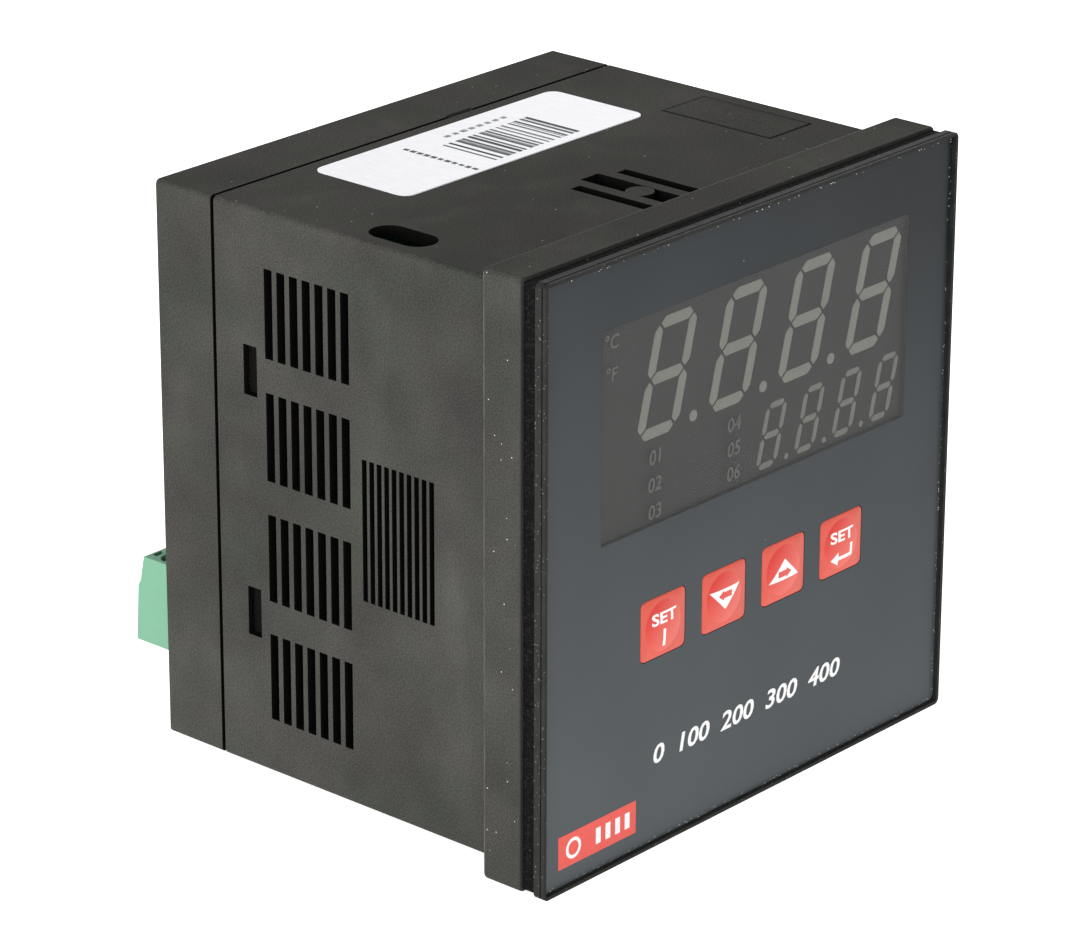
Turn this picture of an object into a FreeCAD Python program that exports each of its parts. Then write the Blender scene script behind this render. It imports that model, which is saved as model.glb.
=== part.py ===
"""Panel-mounted PID temperature controller, quarter DIN (96 x 96 mm front), as a parametric document.

Frame: millimetres, +X to the right seen from the front, +Z up, +Y into the panel. The origin is the
centre of the panel cut-out on the panel's front face, where the gasket seats. The front bezel lies
at negative Y, the case and the plug-in terminals at positive Y.
"""

import FreeCAD, Part

import math
import os
from types import SimpleNamespace

import Sketcher

doc = FreeCAD.newDocument("temperature_controller")

# ---------------------------------------------------------------------------------------------
# Driving dimensions
# ---------------------------------------------------------------------------------------------

DIMENSIONS = {
    "overrun": 0.5,
    # front bezel, film, window and gasket
    "bezel_flange": 2.4,
    "bezel_depth": 2.0,
    "bezel_corner": 1.0,
    "rim_width": 0.6,
    "film_recess": 0.7,
    "film_thickness": 0.25,
    "film_gap": 0.1,
    "groove_width": 0.25,
    "groove_depth": 0.2,
    "groove_to_back": 1.2,
    "window_to_left": 10.7,
    "window_to_right": 8.6,
    "window_to_top": 8.2,
    "window_thickness": 0.6,
    "gasket_thickness": 2.6,
    "gasket_inset": 0.6,
    "collar_wall": 1.5,
    "collar_depth": 11.6,
    # keys
    "key_count": 4,
    "key_pitch": 14.2,
    "key_row_x": 0.7,
    "key_row_z": -12.5,
    "key_width": 10.2,
    "key_height": 9.7,
    "key_thickness": 1.3,
    "key_corner": 0.9,
    "key_gap": 0.08,
    "plunger_fit": 0.15,
    "key_travel": 0.3,
    "dome_radius": 4.2,
    "dome_rise": 0.4,
    "dome_slope": 1.0,
    "dome_sunk": 0.2,
    "stem_radius": 1.5,
    "plunger_radius": 1.7,
    "plunger_proud": 0.8,
    "plunger_depth": 1.0,
    "switch_size": 6.0,
    "switch_height": 3.4,
    # clamp ring
    "ring_depth": 7.5,
    "ring_fit": 0.25,
    "ring_gap": 0.05,
    "ring_edge": 0.4,
    # main case
    "case_size": 91.2,
    "case_wall": 2.0,
    "case_corner": 0.8,
    "case_rear": 63.4,
    "case_fit": 0.15,
    "vent_count": 7,
    "vent_groups": 4,
    "vent_width": 1.67,
    "vent_pitch": 2.6,
    "vent_height": 14.2,
    "vent_to_rear": 27.5,
    "vent_group_pitch": 19.65,
    "fine_vent_count": 10,
    "fine_vent_width": 0.97,
    "fine_vent_pitch": 1.5,
    "fine_vent_height": 22.7,
    "fine_vent_to_rear": 44.35,
    "latch_window_to_rear": 8.45,
    "latch_window_depth": 2.8,
    "latch_window_height": 8.0,
    "spring_latch_x": -1.1,
    "spring_latch_front": 11.4,
    "spring_slot_length": 14.7,
    "spring_slot_width": 2.25,
    "spring_beam_width": 2.1,
    "spring_opening_width": 4.2,
    "spring_opening_length": 16.5,
    "spring_nib_radius": 2.2,
    "spring_nib_offset": 0.25,
    "catch_clearance": 0.3,
    "catch_margin": 2.0,
    "spring_nib_y": 17.7,
    "spring_nib_drop": 0.9,
    "clamp_slot_to_side": 5.45,
    "clamp_slot_front": 23.9,
    "clamp_slot_length": 11.8,
    "clamp_slot_width": 6.1,
    "flap_to_side": 3.5,
    "flap_width": 10.4,
    "flap_front": 19.3,
    "flap_length": 21.9,
    "flap_step": 0.1,
    "flap_slit_width": 0.35,
    "flap_slit_depth": 0.9,
    "guide_wall": 1.2,
    "guide_reach": 3.2,
    "guide_to_board_front": 0.6,
    "guide_to_board_rear": 13.4,
    # top label
    "label_x": 0.55,
    "label_width": 55.1,
    "label_to_rear": 22.0,
    "label_length": 19.5,
    "label_thickness": 0.15,
    "label_corner": 2.0,
    # rear cover
    "seam_gap": 0.7,
    "cover_depth": 11.5,
    "cover_wall": 2.0,
    "cover_lip": 3.0,
    "skirt_length": 6.1,
    "skirt_wall": 1.5,
    "tongue_length": 6.5,
    "hook_recess": 1.2,
    "hook_clearance": 0.1,
    "notch_left": 7.0,
    "notch_width": 5.7,
    "notch_size": 0.5,
    "boss_radius": 2.2,
    "boss_inset": 2.65,
    "pilot_radius": 1.0,
    # boards
    "board_thickness": 1.6,
    "board_gap": 0.15,
    "display_depth": 7.8,
    "display_gap": 0.2,
    "chassis_board_front": 9.4,
    "chassis_board_gap": 2.0,
    "board_screw_radius": 1.0,
    "board_screw_head": 2.0,
    "board_screw_head_height": 1.5,
    "board_screw_length": 6.0,
    "board_hole_radius": 1.25,
    "board_engagement": 1.0,
    "terminal_board_inset": 0.1,
    "isolation_slot_x": 8.0,
    "isolation_slot_to_rear": 8.0,
    "isolation_slot_length": 20.0,
    "isolation_slot_width": 1.5,
    "connector_width": 25.0,
    "connector_height": 5.0,
    "connector_wall": 1.0,
    "connector_overlap": 3.0,
    # parts on the power board
    "transformer_to_left": 18.0,
    "transformer_y": 22.0,
    "core_width": 28.0,
    "core_depth": 15.0,
    "core_height": 25.0,
    "core_leg": 5.0,
    "coil_bulge": 3.0,
    "can_neck": 0.4,
    "can_foot": 2.0,
    "can_groove": 1.0,
    "mains_can_to_left": 13.4,
    "mains_can_to_rear": 12.4,
    "mains_can_radius": 8.0,
    "mains_can_height": 25.0,
    "output_can_x": 0.0,
    "output_can_front": 14.0,
    "output_can_pitch": 8.6,
    "output_can_radius": 4.0,
    "output_can_height": 11.5,
    "output_can_count": 3,
    "relay_to_right": 12.8,
    "output_relay_to_rear": 14.4,
    "output_relay_width": 19.0,
    "output_relay_depth": 15.5,
    "output_relay_height": 15.0,
    "alarm_relay_y": 24.0,
    "alarm_relay_width": 18.0,
    "alarm_relay_depth": 10.0,
    "alarm_relay_height": 12.5,
    "relay_flange": 0.3,
    "relay_base": 1.2,
    "fuse_x": -3.0,
    "fuse_to_rear": 7.4,
    "fuse_length": 20.0,
    "fuse_radius": 2.6,
    "fuse_cap_step": 0.2,
    "fuse_cap_length": 5.0,
    "fuse_lift": 4.0,
    "fuse_clip_wall": 0.5,
    "fuse_clip_lip": 0.4,
    "varistor_to_left": 28.4,
    "varistor_to_rear": 18.9,
    "varistor_radius": 5.0,
    "varistor_thickness": 4.0,
    "bridge_x": 0.0,
    "bridge_to_rear": 14.9,
    "bridge_width": 8.2,
    "bridge_depth": 6.4,
    "bridge_height": 3.3,
    "opto_to_right": 7.4,
    "opto_y": 14.0,
    "opto_pitch": 8.0,
    "opto_width": 4.6,
    "opto_depth": 6.4,
    "opto_height": 3.5,
    "opto_count": 3,
    "regulator_x": 9.5,
    "regulator_y": 25.0,
    "regulator_width": 10.0,
    "regulator_depth": 4.5,
    "regulator_height": 9.0,
    "regulator_tab": 1.3,
    "regulator_tab_height": 6.5,
    "regulator_eye_radius": 1.8,
    # parts on the control board
    "processor_x": 0.0,
    "processor_y": 30.0,
    "processor_size": 12.0,
    "processor_height": 1.4,
    "crystal_x": 18.0,
    "crystal_y": 30.0,
    "crystal_length": 6.4,
    "crystal_radius": 2.3,
    "crystal_height": 3.5,
    "signal_chip_x": -26.0,
    "signal_chip_y": 42.0,
    "signal_chip_pitch": 10.0,
    "signal_chip_width": 5.0,
    "signal_chip_depth": 4.0,
    "signal_chip_height": 1.6,
    "signal_chip_count": 3,
    # displays
    "digit_to_window": 0.45,
    "digit_margin_x": 0.3,
    "digit_margin_z": 0.5,
    "large_digit_pitch": 16.3,
    "large_digit_width": 9.5,
    "large_digit_height": 18.2,
    "large_digit_to_top": 1.65,
    "large_segment": 1.75,
    "large_point_offset": 13.2,
    "small_digit_pitch": 9.17,
    "small_digit_width": 5.0,
    "small_digit_height": 10.2,
    "small_digit_to_bottom": 0.85,
    "digit_row_gap": 2.3,
    "small_segment": 0.95,
    "small_point_offset": 7.5,
    "lamp_to_left": 3.9,
    "lamp_to_digits": 10.3,
    "lamp_to_bottom": 2.4,
    "lamp_pitch": 4.1,
    "lamp_rows": 3,
    "lamp_radius": 0.9,
    "digit_count": 4,
    "digit_slant": 0.26,
    "segment_depth": 0.1,
    "segment_gap": 0.3,
    # terminal row
    "pole_pitch": 5.08,
    "terminal_margin": 4.5,
    "plug_gap": 0.1,
    "plug_standoff": 0.3,
    "plug_depth": 11.9,
    "plug_to_bottom": 10.8,
    "plug_height": 14.6,
    "plug_top_setback": 2.0,
    "plug_step_top": 4.2,
    "plug_step_height": 1.0,
    "plug_step_above": 1.15,
    "plug_step_below": 0.6,
    "contact_lift": 4.9,
    "tongue_height": 7.0,
    "tongue_reach": 8.2,
    "contact_bore": 2.4,
    "contact_wall": 0.35,
    "contact_gap": 0.1,
    "contact_floor": 1.0,
    "chamber_width": 3.9,
    "chamber_height": 6.6,
    "chamber_lift": 0.1,
    "cage_depth": 4.6,
    "cage_wall": 0.55,
    "cage_head": 1.9,
    "terminal_screw_radius": 1.25,
    "terminal_head_radius": 1.65,
    "terminal_head_height": 1.5,
    "terminal_head_sunk": 0.7,
    "terminal_hole_radius": 1.8,
    "terminal_screw_to_rear": 5.8,
    "driver_slot_width": 0.5,
    "driver_slot_depth": 0.6,
    "test_slot_width": 2.0,
    "test_slot_length": 1.0,
    "test_slot_depth": 3.0,
    "test_slot_to_rear": 2.9,
    "header_wall": 0.7,
    "header_fit": 0.2,
    "header_floor": 3.0,
    "header_opening_fit": 0.3,
    "pin_size": 1.0,
    "pin_tail": 1.4,
    "pin_reach": 7.5,
}

sizes = doc.addObject("Spreadsheet::Sheet", "sizes")
for row, (alias, number) in enumerate(DIMENSIONS.items(), start=1):
    sizes.set(f"A{row}", alias)
    sizes.set(f"B{row}", str(number))
    sizes.setAlias(f"B{row}", alias)
doc.recompute()


class Size:
    """A length that carries its number and the spreadsheet expression that it comes from."""

    def __init__(self, value, text):
        self.value = float(value)
        self.text = text

    @staticmethod
    def of(item):
        """Return item as a Size, whether it is one already or a plain number."""
        return item if isinstance(item, Size) else Size(item, f"({float(item):.6g})")

    def __add__(self, other):
        other = Size.of(other)
        return Size(self.value + other.value, f"({self.text} + {other.text})")

    def __sub__(self, other):
        other = Size.of(other)
        return Size(self.value - other.value, f"({self.text} - {other.text})")

    def __mul__(self, other):
        other = Size.of(other)
        return Size(self.value * other.value, f"({self.text} * {other.text})")

    def __truediv__(self, other):
        other = Size.of(other)
        return Size(self.value / other.value, f"({self.text} / {other.text})")

    def __neg__(self):
        return Size(-self.value, f"(-1 * {self.text})")

    def __radd__(self, other):
        return Size.of(other) + self

    def __rsub__(self, other):
        return Size.of(other) - self

    def __rmul__(self, other):
        return Size.of(other) * self

    def whole(self):
        """The size rounded down to a whole number, for a count that follows a length."""
        return Size(math.floor(self.value), f"floor({self.text})")


S = SimpleNamespace(**{alias: Size(number, f"sizes.{alias}") for alias, number in DIMENSIONS.items()})


def count(size):
    """The whole number that a counting dimension holds."""
    return int(round(size.value))


# Planes and half-widths that several pieces share
case_half = S.case_size / 2
case_inner = case_half - S.case_wall
bezel_size = S.case_size + S.bezel_flange * 2
bezel_half = bezel_size / 2
bezel_back = -S.gasket_thickness
bezel_front = bezel_back - S.bezel_depth
film_face = bezel_front + S.film_recess
film_half = bezel_half - S.rim_width
window_left = S.window_to_left - case_half
window_right = case_half - S.window_to_right
window_top = case_half - S.window_to_top
window_height = (S.large_digit_to_top + S.large_digit_height + S.digit_row_gap + S.small_digit_height
                 + S.small_digit_to_bottom)
window_bottom = window_top - window_height
window_width = window_right - window_left
collar_outer = case_inner - S.case_fit
collar_inner = collar_outer - S.collar_wall
boss_offset = collar_inner - S.boss_inset
nib_x = S.spring_latch_x - S.spring_nib_offset
display_front = film_face + S.window_thickness + S.display_gap
display_board_front = display_front + S.display_depth
display_board_back = display_board_front + S.board_thickness
cover_front = S.case_rear + S.seam_gap
cover_rear = cover_front + S.cover_depth
skirt_inner = collar_outer - S.skirt_wall
latch_window_front = S.case_rear - S.latch_window_to_rear
terminal_board_back = cover_front - S.terminal_board_inset
terminal_board_front = terminal_board_back - S.board_thickness
chassis_board_half = case_inner - S.guide_reach + S.board_engagement
chassis_board_rear = terminal_board_front - S.chassis_board_gap
board_level = S.vent_group_pitch
pole_count = ((case_half - S.terminal_margin) / S.pole_pitch).whole()
plug_width = pole_count * S.pole_pitch
plug_front = cover_rear + S.plug_standoff
plug_rear = plug_front + S.plug_depth
tongue_front = plug_front - S.tongue_reach
terminal_y = plug_rear - S.terminal_screw_to_rear
plug_bottom = S.plug_to_bottom - case_half
plug_top = plug_bottom + S.plug_height
contact_z = plug_bottom + S.contact_lift
chamber_z = contact_z + S.chamber_lift
chamber_front = terminal_y - S.cage_depth / 2 - S.contact_gap
header_height = S.tongue_height + S.header_fit * 2 + S.header_wall * 2

# ---------------------------------------------------------------------------------------------
# Helpers
# ---------------------------------------------------------------------------------------------

PLANES = {"X": ("YZ_Plane", 1), "Y": ("XZ_Plane", -1), "Z": ("XY_Plane", 1)}
parts = []


def finish(feature, name):
    """Name a finished sub-part and list it for export."""
    feature.Label = name
    parts.append(feature)
    return feature


def bind(feature, path, size):
    """Bind a property of a feature to the spreadsheet."""
    feature.setExpression(path, Size.of(size).text)


def origin_feature(body, role):
    """The plane or axis of a body's own origin that has this role."""
    return next(item for item in body.Origin.OriginFeatures if item.Role == role)


def new_body(name):
    """A PartDesign body for one sub-part."""
    return finish(doc.addObject("PartDesign::Body", name), name)


def add_datums(sketch, first, datums):
    """Add dimensions to a sketch, each bound to the spreadsheet."""
    for kind, refs, size in datums:
        size = Size.of(size)
        index = sketch.addConstraint(Sketcher.Constraint(kind, *[first + r if k % 2 == 0 else r
                                                                 for k, r in enumerate(refs)], size.value))
        sketch.setExpression(f"Constraints[{index}]", size.text)


def draw_rectangle(sketch, left, bottom, width, height):
    """A rectangle set by its lower left corner, width and height."""
    left, bottom, width, height = (Size.of(item) for item in (left, bottom, width, height))
    low = FreeCAD.Vector(left.value, bottom.value, 0)
    across = FreeCAD.Vector(width.value, 0, 0)
    up = FreeCAD.Vector(0, height.value, 0)
    corners = [low, low + across, low + across + up, low + up]
    first = sketch.GeometryCount
    sketch.addGeometry([Part.LineSegment(corners[k], corners[(k + 1) % 4]) for k in range(4)], False)
    sketch.addConstraint([Sketcher.Constraint("Coincident", first + k, 2, first + (k + 1) % 4, 1)
                          for k in range(4)])
    sketch.addConstraint([Sketcher.Constraint("Horizontal", first), Sketcher.Constraint("Vertical", first + 1),
                          Sketcher.Constraint("Horizontal", first + 2), Sketcher.Constraint("Vertical", first + 3)])
    add_datums(sketch, first, [("DistanceX", (0, 1), left), ("DistanceY", (0, 1), bottom),
                               ("DistanceX", (0, 1, 0, 2), width), ("DistanceY", (1, 1, 1, 2), height)])


def draw_centred(sketch, width, height, x=0, y=0):
    """A rectangle centred on a point, the origin unless another is given."""
    draw_rectangle(sketch, Size.of(x) - Size.of(width) / 2, Size.of(y) - Size.of(height) / 2, width, height)


def draw_polygon(sketch, points):
    """A closed outline through the given points, each coordinate a dimension."""
    points = [(Size.of(x), Size.of(y)) for x, y in points]
    vectors = [FreeCAD.Vector(x.value, y.value, 0) for x, y in points]
    total = len(points)
    first = sketch.GeometryCount
    sketch.addGeometry([Part.LineSegment(vectors[k], vectors[(k + 1) % total]) for k in range(total)], False)
    sketch.addConstraint([Sketcher.Constraint("Coincident", first + k, 2, first + (k + 1) % total, 1)
                          for k in range(total)])
    for k, (x, y) in enumerate(points):
        add_datums(sketch, first + k, [("DistanceX", (0, 1), x), ("DistanceY", (0, 1), y)])


def draw_circle(sketch, x, y, radius):
    """A circle set by its centre and radius."""
    x, y, radius = (Size.of(item) for item in (x, y, radius))
    first = sketch.GeometryCount
    centre = FreeCAD.Vector(x.value, y.value, 0)
    sketch.addGeometry(Part.Circle(centre, FreeCAD.Vector(0, 0, 1), radius.value), False)
    add_datums(sketch, first, [("DistanceX", (0, 3), x), ("DistanceY", (0, 3), y), ("Radius", (0,), radius)])


def draw_obround(sketch, x, low, length, width):
    """An upright slot with round ends, from its lowest point up."""
    x, low, length, radius = Size.of(x), Size.of(low), Size.of(length), Size.of(width) / 2
    y_low, y_high = low + radius, low + length - radius
    axis = FreeCAD.Vector(0, 0, 1)
    low_centre = FreeCAD.Vector(x.value, y_low.value, 0)
    high_centre = FreeCAD.Vector(x.value, y_high.value, 0)
    side = FreeCAD.Vector(radius.value, 0, 0)
    first = sketch.GeometryCount
    sketch.addGeometry([
        Part.ArcOfCircle(Part.Circle(high_centre, axis, radius.value), 0, math.pi),
        Part.LineSegment(high_centre - side, low_centre - side),
        Part.ArcOfCircle(Part.Circle(low_centre, axis, radius.value), math.pi, 2 * math.pi),
        Part.LineSegment(low_centre + side, high_centre + side)], False)
    sketch.addConstraint([Sketcher.Constraint("Tangent", first + k, 2, first + (k + 1) % 4, 1) for k in range(4)])
    sketch.addConstraint([Sketcher.Constraint("Vertical", first + 1),
                          Sketcher.Constraint("Equal", first, first + 2)])
    add_datums(sketch, first, [("DistanceX", (0, 3), x), ("DistanceY", (0, 3), y_high),
                               ("DistanceY", (2, 3), y_low), ("Radius", (0,), radius)])


def sketch_on(body, name, axis, start):
    """A sketch on the body's plane square to an axis, moved along that axis to start.

    Seen in the sketch, X and Z run right and up on a plane square to Y, X and Y on one square
    to Z, and Y and Z on one square to X.
    """
    role, sign = PLANES[axis]
    sketch = body.newObject("Sketcher::SketchObject", name)
    sketch.AttachmentSupport = [(origin_feature(body, role), "")]
    sketch.MapMode = "FlatFace"
    bind(sketch, "AttachmentOffset.Base.z", Size.of(start) * sign)
    return sketch


def extrude(body, name, axis, start, length, draw, cut=False):
    """Pad or pocket what draw puts in a sketch, from start towards + along the axis."""
    sketch = sketch_on(body, f"{name}_sketch", axis, start)
    draw(sketch)
    feature = body.newObject("PartDesign::Pocket" if cut else "PartDesign::Pad", name)
    feature.Profile = sketch
    feature.Reversed = (PLANES[axis][1] < 0) != cut
    bind(feature, "Length", length)
    return feature


def repeat(body, feature, name, axis, pitch, copies):
    """Repeat a feature at a fixed pitch along an axis of the body."""
    pattern = body.newObject("PartDesign::LinearPattern", name)
    pattern.Originals = [feature]
    pattern.Direction = (origin_feature(body, f"{axis}_Axis"), [""])
    bind(pattern, "Length", pitch * (copies - 1))
    bind(pattern, "Occurrences", copies)
    body.Tip = pattern
    return pattern


def mirror(body, features, name, plane):
    """Mirror features across one of the body's planes."""
    mirrored = body.newObject("PartDesign::Mirrored", name)
    mirrored.Originals = features
    mirrored.MirrorPlane = (origin_feature(body, plane), [""])
    body.Tip = mirrored
    return mirrored


def round_edges(body, base, name, radius, chosen):
    """Round the edges of a feature for which chosen(edge) is true."""
    doc.recompute()
    names = [f"Edge{k}" for k, edge in enumerate(base.Shape.Edges, start=1) if chosen(edge)]
    fillet = body.newObject("PartDesign::Fillet", name)
    fillet.Base = (base, names)
    bind(fillet, "Radius", radius)
    body.Tip = fillet
    return fillet


def bevel_edges(body, base, name, size, chosen):
    """Bevel the edges of a feature for which chosen(edge) is true."""
    doc.recompute()
    names = [f"Edge{k}" for k, edge in enumerate(base.Shape.Edges, start=1) if chosen(edge)]
    chamfer = body.newObject("PartDesign::Chamfer", name)
    chamfer.Base = (base, names)
    bind(chamfer, "Size", size)
    body.Tip = chamfer
    return chamfer


def near(value, size):
    """Whether a coordinate lies on a named plane."""
    return abs(value - Size.of(size).value) < 1e-4


def runs_along(edge, axis):
    """Whether an edge is straight and runs along an axis."""
    box = edge.BoundBox
    spans = {"X": box.XLength, "Y": box.YLength, "Z": box.ZLength}
    return spans.pop(axis) > 1e-4 and max(spans.values()) < 1e-4


def corner_edges(half_x, half_z):
    """A chooser of the four edges along Y at the corners of a centred rectangle."""
    def chosen(edge):
        box = edge.BoundBox
        return runs_along(edge, "Y") and near(abs(box.XMin), half_x) and near(abs(box.ZMin), half_z)
    return chosen


def box(name, x, y, z, dx, dy, dz):
    """A block from its lowest corner."""
    block = doc.addObject("Part::Box", name)
    for path, size in zip(("Length", "Width", "Height"), (dx, dy, dz)):
        bind(block, path, size)
    place(block, x, y, z)
    return block


def centred_box(name, x, y, z, dx, dy, dz):
    """A block centred in X and Z on a point, from y towards +Y."""
    return box(name, Size.of(x) - Size.of(dx) / 2, y, Size.of(z) - Size.of(dz) / 2, dx, dy, dz)


def place(feature, x, y, z):
    """Bind the three coordinates of a feature's placement."""
    for path, size in zip("xyz", (x, y, z)):
        bind(feature, f"Placement.Base.{path}", size)


TURNS = {"X": FreeCAD.Rotation(FreeCAD.Vector(0, 1, 0), 90), "Y": FreeCAD.Rotation(FreeCAD.Vector(1, 0, 0), -90),
         "Z": FreeCAD.Rotation()}


def cylinder(name, axis, x, y, z, radius, length):
    """A cylinder from the point x, y, z towards + along an axis."""
    rod = doc.addObject("Part::Cylinder", name)
    rod.Placement = FreeCAD.Placement(FreeCAD.Vector(), TURNS[axis])
    bind(rod, "Radius", radius)
    bind(rod, "Height", length)
    place(rod, x, y, z)
    return rod


def fuse(name, shapes):
    """Join solids that overlap into one."""
    joined = doc.addObject("Part::MultiFuse", name)
    joined.Shapes = shapes
    joined.Refine = True
    return joined


def cut(name, base, tools):
    """Cut one or more tools out of a solid."""
    remainder = doc.addObject("Part::Cut", name)
    remainder.Base = base
    remainder.Tool = tools[0] if len(tools) == 1 else fuse(f"{name}_tools", tools)
    return remainder


def group(name, shapes):
    """A node that holds several separate solids of one kind."""
    gathered = doc.addObject("Part::Compound", name)
    gathered.Links = shapes
    return finish(gathered, name)


# ---------------------------------------------------------------------------------------------
# Front: bezel, film, window, gasket
# ---------------------------------------------------------------------------------------------

def key_x(index):
    """Centre of a key along the row."""
    return S.key_row_x + S.key_pitch * (index - (count(S.key_count) - 1) / 2)


def boss_points():
    """The four corners where a board is screwed down."""
    return [(boss_offset * sx, boss_offset * sz) for sx in (-1, 1) for sz in (-1, 1)]


def cut_key_openings(body, start, depth, gap):
    """Cut the row of key openings, each with its key's rounded outline plus the gap all round."""
    opening = extrude(body, "key_opening", "Y", start, depth,
                      lambda sketch: draw_centred(sketch, S.key_width + gap * 2, S.key_height + gap * 2,
                                                  key_x(0), S.key_row_z), cut=True)
    openings = repeat(body, opening, "key_openings", "X", S.key_pitch, S.key_count)
    columns = [key_x(index).value for index in range(count(S.key_count))]

    def at_corner(edge):
        corner = edge.BoundBox
        beside = any(near(abs(corner.XMin - x), S.key_width / 2 + gap) for x in columns)
        level = near(abs(corner.ZMin - S.key_row_z.value), S.key_height / 2 + gap)
        return runs_along(edge, "Y") and beside and level
    return round_edges(body, openings, "key_opening_corners", S.key_corner + gap, at_corner)


def make_front_bezel():
    """Bezel with its film recess, key and window openings, side groove, collar and latch tongues."""
    body = new_body("front_bezel")
    plate = extrude(body, "plate", "Y", bezel_front, S.bezel_depth,
                    lambda sketch: draw_centred(sketch, bezel_size, bezel_size))
    round_edges(body, plate, "plate_corners", S.bezel_corner, corner_edges(bezel_half, bezel_half))
    extrude(body, "film_recess", "Y", bezel_front, S.film_recess + S.film_thickness,
            lambda sketch: draw_centred(sketch, film_half * 2, film_half * 2), cut=True)

    def groove(sketch):
        outer = bezel_size + S.overrun * 2
        draw_centred(sketch, outer, outer)
        inner = bezel_size - S.groove_depth * 2
        draw_centred(sketch, inner, inner)
    extrude(body, "side_groove", "Y", bezel_back - S.groove_to_back - S.groove_width, S.groove_width,
            groove, cut=True)

    def collar(sketch):
        draw_centred(sketch, collar_outer * 2, collar_outer * 2)
        draw_centred(sketch, collar_inner * 2, collar_inner * 2)
    extrude(body, "collar", "Y", bezel_back, S.collar_depth, collar)

    def tongue(sketch):
        half = S.spring_nib_radius + S.catch_margin
        draw_rectangle(sketch, nib_x - half, bezel_back, half * 2, S.spring_nib_y + half - bezel_back)
    tongue_top = extrude(body, "latch_tongue", "Z", collar_inner, S.collar_wall, tongue)

    def catch(sketch):
        draw_circle(sketch, nib_x, S.spring_nib_y, S.spring_nib_radius + S.catch_clearance)
    catch_hole = extrude(body, "latch_catch", "Z", collar_inner, S.collar_wall, catch, cut=True)
    mirror(body, [tongue_top, catch_hole], "latch_tongues", "XY_Plane")

    def bosses(sketch):
        for x, z in boss_points():
            draw_circle(sketch, x, z, S.boss_radius)
    extrude(body, "board_bosses", "Y", bezel_back, display_board_front - bezel_back, bosses)

    def pilots(sketch):
        for x, z in boss_points():
            draw_circle(sketch, x, z, S.pilot_radius)
    extrude(body, "board_pilots", "Y", display_board_front - S.board_screw_length, S.board_screw_length,
            pilots, cut=True)
    extrude(body, "window_opening", "Y", film_face, S.bezel_depth,
            lambda sketch: draw_rectangle(sketch, window_left, window_bottom, window_width,
                                          window_height), cut=True)
    cut_key_openings(body, film_face, S.bezel_depth, S.key_gap)


def make_front_film():
    """Printed front film with openings for the window and the keys."""
    body = new_body("front_film")
    side = (film_half - S.film_gap) * 2
    sheet = extrude(body, "sheet", "Y", film_face, S.film_thickness,
                    lambda sketch: draw_centred(sketch, side, side))
    round_edges(body, sheet, "sheet_corners", S.bezel_corner, corner_edges(side / 2, side / 2))
    extrude(body, "window_cut", "Y", film_face, S.film_thickness,
            lambda sketch: draw_rectangle(sketch, window_left, window_bottom, window_width,
                                          window_height), cut=True)
    cut_key_openings(body, film_face, S.film_thickness, S.key_gap)


def make_display_window():
    """Smoked window, flush with the film."""
    gap = S.film_gap / 2
    window = box("display_window", window_left + gap, film_face, window_bottom + gap,
                 window_width - gap * 2, S.window_thickness, window_height - gap * 2)
    finish(window, "display_window")


def make_panel_gasket():
    """Foam gasket between the bezel and the panel."""
    body = new_body("panel_gasket")

    def outline(sketch):
        draw_centred(sketch, bezel_size - S.gasket_inset * 2, bezel_size - S.gasket_inset * 2)
        draw_centred(sketch, S.case_size, S.case_size)
    extrude(body, "foam", "Y", bezel_back, S.gasket_thickness, outline)


# ---------------------------------------------------------------------------------------------
# Keys and their switches
# ---------------------------------------------------------------------------------------------

KEY_NAMES = ("set_key", "down_key", "up_key", "enter_key")
key_back = film_face + S.key_thickness
switch_front = display_board_front - S.switch_height
plunger_front = switch_front - S.plunger_proud


def make_key(index, name):
    """One key: a rounded pad with a raised, sloping disc and a stem, and the plunger it presses."""
    x = key_x(index)
    pad = doc.addObject("PartDesign::Body", f"{name}_pad")
    plate = extrude(pad, "plate", "Y", film_face, S.key_thickness,
                    lambda sketch: draw_centred(sketch, S.key_width, S.key_height, x, S.key_row_z))
    round_edges(pad, plate, "corners", S.key_corner, lambda edge: runs_along(edge, "Y"))
    dome = doc.addObject("Part::Cone", f"{name}_dome")
    dome.Placement = FreeCAD.Placement(FreeCAD.Vector(), TURNS["Y"])
    bind(dome, "Radius1", S.dome_radius - S.dome_slope)
    bind(dome, "Radius2", S.dome_radius + S.dome_slope * (S.dome_sunk / S.dome_rise))
    bind(dome, "Height", S.dome_rise + S.dome_sunk)
    place(dome, x, film_face - S.dome_rise, S.key_row_z)
    stem = cylinder(f"{name}_stem", "Y", x, key_back - S.key_thickness / 2, S.key_row_z, S.stem_radius,
                    plunger_front - key_back + S.key_thickness / 2)
    finish(fuse(name, [pad, dome, stem]), name)
    plunger = cylinder(f"{name}_plunger", "Y", x, plunger_front, S.key_row_z, S.plunger_radius,
                       S.plunger_proud + S.plunger_depth)
    finish(plunger, f"{name}_plunger")


def make_tact_switches():
    """The four switch bodies on the display board, each with a bore for its plunger."""
    switches = []
    for index, name in enumerate(KEY_NAMES):
        block = centred_box(f"{name}_switch_block", key_x(index), switch_front, S.key_row_z,
                            S.switch_size, S.switch_height, S.switch_size)
        bore = cylinder(f"{name}_switch_bore", "Y", key_x(index), switch_front, S.key_row_z,
                        S.plunger_radius + S.plunger_fit, S.plunger_depth + S.key_travel * 2)
        switches.append(cut(f"{name}_switch", block, [bore]))
    group("tact_switches", switches)


# ---------------------------------------------------------------------------------------------
# Clamp ring
# ---------------------------------------------------------------------------------------------

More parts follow.
